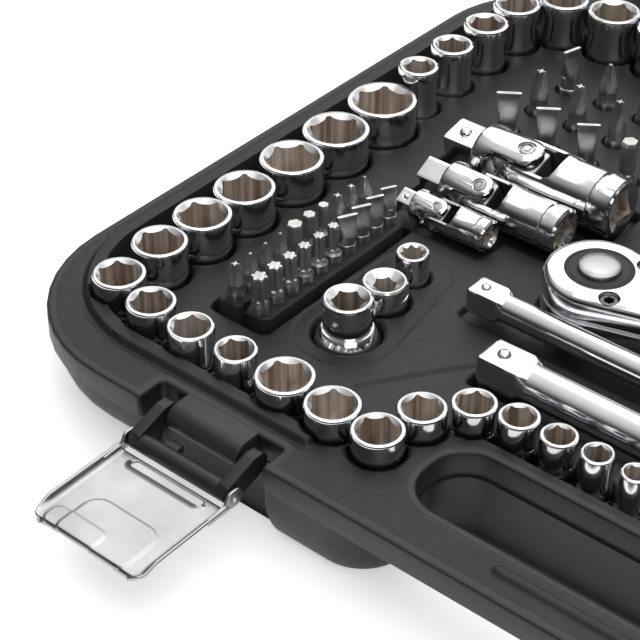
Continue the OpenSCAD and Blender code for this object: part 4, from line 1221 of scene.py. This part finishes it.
def bit(name, low, high, across, kind, size, shank, spin, body):
    """A screwdriver bit standing on its hexagonal shank, from its CAD solid's box."""
    angles = circle(48)
    z0, z1 = low[2], high[2]
    six = hexagon_radius(across, angles, False)
    waist = min(size * 1.04, across * 0.46)
    foot = z0 + (z1 - z0) * shank
    neck = 0.8 if kind == "blade" else 1.3
    tip_from = foot + (z1 - foot) * (0.22 if kind in ("star", "hex") else 0.34)
    rings = [(six * 0.88, z0), (six, z0 + 0.6), (six, foot), (np.minimum(six, across * 0.53), foot + 0.5),
             (waist + (across * 0.5 - waist) * 0.25, foot + neck), (waist, tip_from - 0.5)]
    for t in np.arange(13) / 12:
        rings.append((tip_radius(kind, angles, t, size), tip_from + (z1 - tip_from) * t))
    x, y = (low[:2] + high[:2]) / 2
    shape = Shape().loft([ring_of(radius, z, angles) for radius, z in rings],
                         place=move(x, y) @ turn("Z", spin), start=True, end=True)
    piece(name, shape, BIT, body, ["rack_bits" if body == "bit_rack" else body], 28)


# The kinds and tip radii of the bits: the rack's two rows, then the large bits' five columns
RACK_BACK = [("cross", 3.0), ("posi", 2.9), ("posi", 2.8), ("posi", 2.7), ("hex", 2.9), ("hex", 2.4),
             ("hex", 2.0), ("cross", 3.0), ("cross", 2.8), ("posi", 2.8)]
RACK_FRONT = [("star", 3.05), ("star", 2.8), ("star", 2.6), ("star", 2.4), ("star", 2.2),
              ("star", 2.1), ("blade", 3.6), ("blade", 3.5), ("blade", 3.2), ("blade", 2.9)]
LARGE_KINDS = [[("blade", 4.6), ("cross", 3.8), ("blade", 3.9)],
               [("blade", 4.4), ("cross", 3.7), ("posi", 3.8)],
               [("blade", 4.1), ("cross", 3.4), ("posi", 3.5)],
               [("hex", 3.2), ("star", 3.1), ("star", 3.4)],
               [("hex", 3.6), ("star", 3.4), ("hex", 2.6)]]


def columns_of(node):
    """A node's solids in columns from left to right, each column from front to back."""
    columns = {}
    for low, high in solids_of(node):
        columns.setdefault(round((low[0] + high[0]) / 2), []).append((low, high))
    return [sorted(columns[x], key=lambda box: box[0][1] + box[1][1]) for x in sorted(columns)]


def rack_and_bits():
    """A rubber block in two strips, with a raised collar round each of its twenty bits."""
    low, high = box_of("bit_rack")
    rack = Shape()
    top = high[2]
    groove = (low[0] + 10.6, low[0] + 12.2)
    rack.plate(rectangle(low[0], low[1], groove[0], high[1], 3.2), low[2], top, 0.9, steps=8)
    rack.plate(rectangle(groove[1], low[1] + 0.5, high[0], high[1], 4.4), low[2], top - 0.5, 0.9,
               steps=8)
    rack.block((groove[0] - 1, low[1] + 3, low[2] + 0.3), (groove[1] + 1, high[1] - 2, top - 3.5))
    piece("bit_rack_block", rack, RUBBER, "bit_rack", ["bit_rack"])
    collars = Shape()
    six = hexagon_radius(6.5, circle(36), False)
    for row, (boxes, kinds) in enumerate(zip(columns_of("rack_bits"), (RACK_BACK, RACK_FRONT))):
        rim_z = top - 0.5 * row
        levels = ((1.1, -0.6), (0.9, 0.25), (0.2, 0.35), (0, -0.8))
        for (low, high), (kind, size) in zip(boxes, kinds):
            x, y = (low[:2] + high[:2]) / 2
            bit(f"rack_bit_{row + 1}_{round(y)}", low, high, 6.2, kind, size, 0.52,
                -28 if kind == "blade" else 30, "bit_rack")
            collars.loft([ring_of(six + wider, rim_z + rise, circle(36)) for wider, rise in levels],
                         place=move(x, y) @ turn("Z", 30))
    piece("bit_rack_collars", collars, RUBBER, "bit_rack", ["bit_rack"])


def large_bits():
    """Five columns of three."""
    for i, (boxes, kinds) in enumerate(zip(columns_of("large_bits"), LARGE_KINDS)):
        for j, ((low, high), (kind, size)) in enumerate(zip(boxes, kinds)):
            bit(f"large_bit_{i + 1}_{j + 1}", low, high, 7.9, kind, size, 0.42,
                20 * j - 55 if kind == "blade" else 15, "large_bits")


# ---------------------------------------------------------------- latches and hinges

plate_slot = field_of((-15, 0.9, 15, 4.3), 1.69)


def plate_height(u, v, length, half):
    """The latch plate's face: turned-up sides, a rolled slot edge and a plain raised panel."""
    side = np.clip((np.abs(u) - half + 2.6) / 2.6, 0, 1)
    z = 2.3 * side ** 2.2 * (1 - 0.75 * smooth((v - length + 9) / 7))
    z -= 1.3 * smooth((v - length + 1.5) / 1.5) ** 2
    z += 0.9 * np.exp(-(((plate_slot(u, v) - 0.7) / 0.6) ** 2)) * smooth((v - 2.6) / 1.2)
    arch = rectangle_field(u, v, (-13, length - 19, 16, length + 9), 6)
    z += 0.4 * (1 - smooth((arch + 0.4) / 0.6))
    tab = rectangle_field(u, v, (-19, length - 8.5, 3, length + 9), 3)
    z += 0.35 * (1 - smooth((tab + 0.4) / 0.6))
    return z


def latch(side):
    """A latch: the pressed plate with its two ears, its pin, and the link it hangs on."""
    low, high = box_of(f"latch_{side}_plate")
    middle = (low[0] + high[0]) / 2
    pin_low, pin_high = box_of(f"latch_{side}_pin")
    pin = ((pin_low[1] + pin_high[1]) / 2, (pin_low[2] + pin_high[2]) / 2)
    half = (high[0] - low[0]) / 2
    start = pin[0] - 4.4
    length = start - low[1]
    body = f"latch_{side}_plate"
    cell = 0.5
    u, v = np.meshgrid(np.arange(-half, half + 0.01, cell * half / round(half)),
                       np.arange(0, length + 0.01, cell))
    u, v, _ = drawn_onto(u, v, plate_slot, 0, cell * 0.7)
    quads = grid_faces(plate_slot(u, v) > -0.05)[:, ::-1]
    z = plate_height(u, v, length, half) + low[2] + 1.0
    corner = 4.0
    round_off = corner - np.sqrt(corner ** 2 - np.clip(v - length + corner, 0, corner) ** 2)
    u = u * (1 - round_off / half)
    sheet = Shape()
    sheet.add(np.stack([u + middle, start - v, z], -1).reshape(-1, 3), quads.tolist())
    made = piece(f"{body}_sheet", sheet, PLATE, body, [body], 40)
    thick = made.modifiers.new("sheet", "SOLIDIFY")
    thick.thickness, thick.offset = 0.9 * MM, -1

    ears = Shape()
    for edge in (-half, half - 1.1):
        outline = [(start + 0.6, low[2] + 0.2, 0.3), (pin[0] + 0.6, pin[1] - 3.2, 1.2),
                   (pin[0] + 3.2, pin[1] - 1.6, 2.2), (pin[0] + 2.6, pin[1] + 3.1, 2.3),
                   (pin[0] - 2.8, pin[1] + 3.1, 2.3), (start - 0.4, low[2] + 3.0, 1.6),
                   (start - 8, low[2] + 2.6, 0.4), (start - 8, low[2] + 0.2, 0.3)]
        ears.plate(outline, 0, 1.1, 0.3, place=move(middle + edge) @ ALONG_X)
    piece(f"{body}_ears", ears, PLATE, body, [body], 35)

    rod = Shape().lathe([(0, -half - 0.55), (0.9, -half - 0.5), (1.45, -half - 0.1),
                         (1.45, half + 0.1), (0.9, half + 0.5), (0, half + 0.55)],
                        place=move(middle, *pin) @ ALONG_X, steps=24)
    piece(f"latch_{side}_pin_rod", rod, SATIN, f"latch_{side}_link", [f"latch_{side}_pin"], 30)
    latch_link(side, pin, middle)


def latch_link(side, pin, middle):
    """The moulded link: two arms, a bar round the plate's pin, one on the case, and a thumb tab."""
    low, high = box_of(f"latch_{side}_link")
    pivot = (high[1] - 3.6, high[2] - 3.6)
    link = Shape()
    for edge in (low[0], high[0] - 4.5):
        arm = [(pin[0] - 3.4, pin[1] - 3.0, 2.6), (pin[0] + 3.0, pin[1] - 3.4, 1.5),
               (pivot[0] + 3.0, pivot[1] - 3.4, 3.0), (pivot[0] + 3.4, pivot[1] + 3.4, 3.0),
               (pivot[0] - 3.0, pivot[1] + 3.5, 1.2), (pin[0] - 2.2, pin[1] + 3.5, 2.6)]
        link.plate(arm, 0, 4.5, 0.5, place=move(edge) @ ALONG_X)
    half = (high[0] - low[0]) / 2 - 1
    link.lathe([(3.3, -half), (3.3, half)], place=move(middle, *pin) @ ALONG_X, steps=40)
    link.lathe([(1.95, -half), (1.95, half)], place=move(middle, *pivot) @ ALONG_X, steps=24)
    tab = [(1, -2.4, 0.5), (6.2, -1.4, 0.9), (6.2, 1.6, 0.9), (4.6, 1.6, 0.3), (1, 1.0, 0.5)]
    link.plate([(pin[0] + x, pin[1] + y, radius) for x, y, radius in tab], -3.2, 3.2, 0.4,
               place=move(middle - 8) @ ALONG_X)
    piece(f"latch_{side}_link_frame", link, NYLON, f"latch_{side}_link",
          [f"latch_{side}_link"], 35)


def latch_bosses():
    """The base's round boss in each latch recess, and the lid's bars that the plates catch on."""
    boss = Shape()
    pivot = np.array([5.5, PARTING - 5])
    turns = np.radians(90 + 15 * np.arange(13))
    barrel = [(pivot[0] + 5 * math.cos(a), pivot[1] + 5 * math.sin(a)) for a in turns]
    section = np.array([(LATCH_DEPTH + 0.6, PARTING - 0.02), (pivot[0] + 0.4, PARTING - 0.02)] + barrel
                       + [(LATCH_DEPTH + 0.6, PARTING - 10)])
    middle = pivot + (2, 0)
    rings = [level(middle + (section - middle) * (1 - shrink / 6), x) for x, shrink in
             ((-15, 0.5), (-14.8, 0.15), (-14.4, 0), (14.4, 0), (14.8, 0.15), (15, 0.5))]
    hooks = Shape()
    y = 2 * HINGE_Y - 5
    for cx in LATCH_X:
        boss.loft(rings, place=move(cx) @ ALONG_X, start=True, end=True)
        hooks.lathe([(2.4, -15), (3, -14.4), (3, 14.4), (2.4, 15)],
                    place=move(cx, y, PARTING - 9) @ ALONG_X, steps=32)
        for x in (cx - 13, cx, cx + 13):
            hooks.block((x - 1.6, y - 6.6, PARTING - 11.6), (x + 1.6, y, PARTING - 0.3), 0.3)
        hooks.block((cx - 14.8, y - 7.2, PARTING - 12), (cx + 14.8, y - 5.4, PARTING - 0.1), 0.3)
    piece("latch_boss_barrels", boss, CASE, "case_base", ["base_tray"], 40)
    piece("lid_catch_bars", hooks, CASE, "lid", ["lid_liner"], 40)


def hinges():
    """The knuckles with the webs that join them to the halves, and the two pins."""
    for node, body in (("base_knuckles", "case_base"), ("lid_knuckles", "lid")):
        shape = Shape()
        lift = (-7.5, 1.0) if body == "case_base" else (-1.0, 7.5)
        for low, high in solids_of(node):
            axis = move((low[0] + high[0]) / 2, HINGE_Y, PARTING)
            half = (high[0] - low[0]) / 2
            shape.lathe([(2.1, -half), (4.5, -half), (5, -half + 0.5), (5, half - 0.5), (4.5, half),
                         (2.1, half)], place=axis @ ALONG_X, steps=40)
            shape.block((-half + 0.1, lift[0], -4.9), (half - 0.1, lift[1], -1.2), 0.4, place=axis)
        piece(f"{node}_turned", shape, CASE, body, [node], 35)
    pins = Shape()
    for low, high in solids_of("hinge_pins"):
        half = (high[0] - low[0]) / 2
        pins.lathe([(0, -half), (1.4, -half), (1.95, -half + 0.5), (1.95, half - 0.5), (1.4, half),
                    (0, half)], place=move((low[0] + high[0]) / 2, HINGE_Y, PARTING) @ ALONG_X, steps=24)
    piece("hinge_pin_rods", pins, SATIN, "case_base", ["hinge_pins"])


# ---------------------------------------------------------------- the rest of the tools

def adapters():
    """Square drive converters standing on their wide ends."""
    squares = (INCH_MEDIUM, INCH_HALF, INCH_QUARTER)
    spots = sorted(solids_of("drive_adapters"), key=lambda box: box[0][0])
    for number, ((low, high), square) in enumerate(zip(spots, squares)):
        x, y = (low[:2] + high[:2]) / 2
        r, length = (high[0] - low[0]) / 2, high[2] - low[2]
        shoulder = length * 0.6
        shape = Shape().lathe([(r - 0.8, 0), (r, 0.8), (r, 4), (r - 0.5, 4.6), (r - 0.5, 5.6), (r, 6.2),
                               (r, shoulder - 2.4), (r - 0.6, shoulder - 1), (square * 0.75, shoulder),
                               (square * 0.7, shoulder + 0.2)], steps=64)
        post = placed(square_bar(square, 0, length - shoulder, 1.3), move(z=length) @ turn("X", 180))
        pip = ball(square * 0.19, move(0, -square / 2 + 0.1, length - square * 0.55) @ turn("X", 90))
        piece(f"drive_adapter_{number + 1}", placed(merged(shape, post, pip), move(x, y, low[2])), CHROME,
              "drive_adapters", ["drive_adapters"])


def spinner():
    """A screwdriver-like handle with flutes, and its shaft ending in a quarter-inch square."""
    low, high = box_of("spinner_handle")
    centre, r, length = (low + high) / 2, (high[1] - low[1]) / 2, high[0] - low[0]
    angles = circle(72)
    rings = []
    for k in range(49):
        t = k / 48
        swell = 0.78 + 0.22 * math.sin(math.pi * min(1, t * 1.5)) if t < 0.67 else 0.78
        round_end = math.sqrt(max(0.02, 1 - max(0, (0.06 - t) / 0.06) ** 2)) if t < 0.06 else 1
        flute = 1 - 0.07 * (np.cos(6 * angles) > 0.55) * (0.1 < t < 0.62)
        rings.append(ring_of(r * swell * round_end * flute, length * t, angles))
    handle = Shape().loft(rings, place=move(low[0], centre[1], centre[2]) @ ALONG_X, start=True,
                          end=True)
    piece("spinner_handle_grip", handle, RUBBER, "spinner", ["spinner_handle"])
    low, high = box_of("spinner_shaft")
    reach = high[0] - low[0]
    shaft = Shape().lathe([(3.3, 0), (3.45, 0.4), (3.45, reach - 13), (4.2, reach - 12.4), (4.2, reach - 10.6),
                           (3.3, reach - 10)])
    square = placed(square_bar(INCH_QUARTER, -reach, -reach + 10.5, 0.9), turn("X", 180))
    whole = placed(merged(shaft, square), move(low[0], centre[1], centre[2]) @ ALONG_X)
    piece("spinner_shaft_rod", whole, CHROME, "spinner", ["spinner_shaft"])


def tools():
    for size, square in (("quarter", INCH_QUARTER), ("medium", INCH_MEDIUM), ("half", INCH_HALF)):
        universal_joint(size, square)
        ratchet(size, square)
    extension_bar("half", INCH_HALF, 6.9, 2.6)
    extension_bar("medium", INCH_MEDIUM, 5.0, 2.2)
    extension_bar("quarter", INCH_QUARTER, 3.4, 1.2)
    bit_holder("large", INCH_HALF, 10, 8, 0.8, hexagon_radius)
    bit_holder("medium", INCH_MEDIUM, 7.4, 20, 0.8, hexagon_radius)
    bit_holder("small", INCH_QUARTER, 8.2, 0, 0.5, notched_radius)
    rack_and_bits()
    large_bits()
    adapters()
    spinner()
    latch("left")
    latch("right")
    latch_bosses()
    hinges()


# ---------------------------------------------------------------- light and camera

def aimed(name, data, place, aim):
    made = in_scene(name, data)
    made.location = place
    made.rotation_euler = (Vector(aim) - Vector(place)).to_track_quat("-Z", "Y").to_euler()
    return made


def lamp(name, place, aim, width, height, power):
    data = bpy.data.lights.new(name, "AREA")
    data.shape = "RECTANGLE"
    data.size, data.size_y, data.energy = width, height, power
    aimed(name, data, place, aim)


def room():
    """A pale room, brighter upwards and behind the case's left."""
    world = bpy.context.scene.world = bpy.data.worlds.new("studio")
    world.use_nodes = True
    tree = world.node_tree
    place = tree.nodes.new("ShaderNodeTexCoord").outputs["Generated"]
    split = tree.nodes.new("ShaderNodeSeparateXYZ")
    tree.links.new(place, split.inputs["Vector"])
    ramp = tree.nodes.new("ShaderNodeValToRGB")
    tones = ramp.color_ramp.elements
    tones[0].position, tones[0].color = 0.0, (0.05, 0.05, 0.052, 1)
    tones[1].position, tones[1].color = 1.0, (1.0, 1.0, 1.0, 1)
    for position, tone in ((0.30, 0.08), (0.50, 0.22), (0.66, 0.70), (0.82, 0.95)):
        tones.new(position).color = (tone, tone, tone, 1)
    tree.links.new(split.outputs["Z"], ramp.inputs["Fac"])
    aside = tree.nodes.new("ShaderNodeVectorMath")
    aside.operation = "DOT_PRODUCT"
    aside.inputs[1].default_value = (-0.64, 0.77, 0.0)
    tree.links.new(place, aside.inputs[0])
    strength = tree.nodes.new("ShaderNodeMapRange")
    for key, value in (("From Min", -0.7), ("From Max", 0.5), ("To Min", 0.22), ("To Max", 1.0)):
        strength.inputs[key].default_value = value
    tree.links.new(aside.outputs["Value"], strength.inputs["Value"])
    tree.links.new(ramp.outputs["Color"], tree.nodes["Background"].inputs["Color"])
    tree.links.new(strength.outputs["Result"], tree.nodes["Background"].inputs["Strength"])


def studio():
    """The room, a pale floor and three soft lamps."""
    bpy.context.scene.view_settings.view_transform = "Standard"
    room()
    mesh = bpy.data.meshes.new("floor")
    mesh.from_pydata([(-6, -6, 0), (6, -6, 0), (6, 6, 0), (-6, 6, 0)], [], [(0, 1, 2, 3)])
    n = Nodes("floor_paper", Roughness=0.9, Emission_Color=(1, 1, 1, 1), Emission_Strength=0.45)
    n.colour(n.blend(n.span(n.noise(3), 0, 1), (0.96, 0.96, 0.96), (0.98, 0.98, 0.98)))
    mesh.materials.append(n.material)
    floor = in_scene("floor", mesh)
    floor.location.z = cad_low[2] - 0.0002
    lamp("key", (-0.75, 1.15, 1.15), (-0.1, 0, 0), 2.3, 1.7, 14)
    lamp("fill", (0.95, -0.9, 1.0), (0, 0, 0), 1.1, 0.6, 5)
    lamp("top", (0.15, 0.0, 1.7), (0, 0, 0), 2.0, 1.8, 13)


LENS, SENSOR = 102.5, 36
EYE = (0.1868, -0.4674, 0.4042)
LOOKED_AT = (-0.1187, -0.1025, 0.038)


def camera():
    data = bpy.data.cameras.new("camera")
    data.lens, data.sensor_width, data.clip_start = LENS, SENSOR, 0.01
    bpy.context.scene.camera = aimed("camera", data, EYE, LOOKED_AT)


case_halves()
all_sockets()
tools()
studio()
camera()
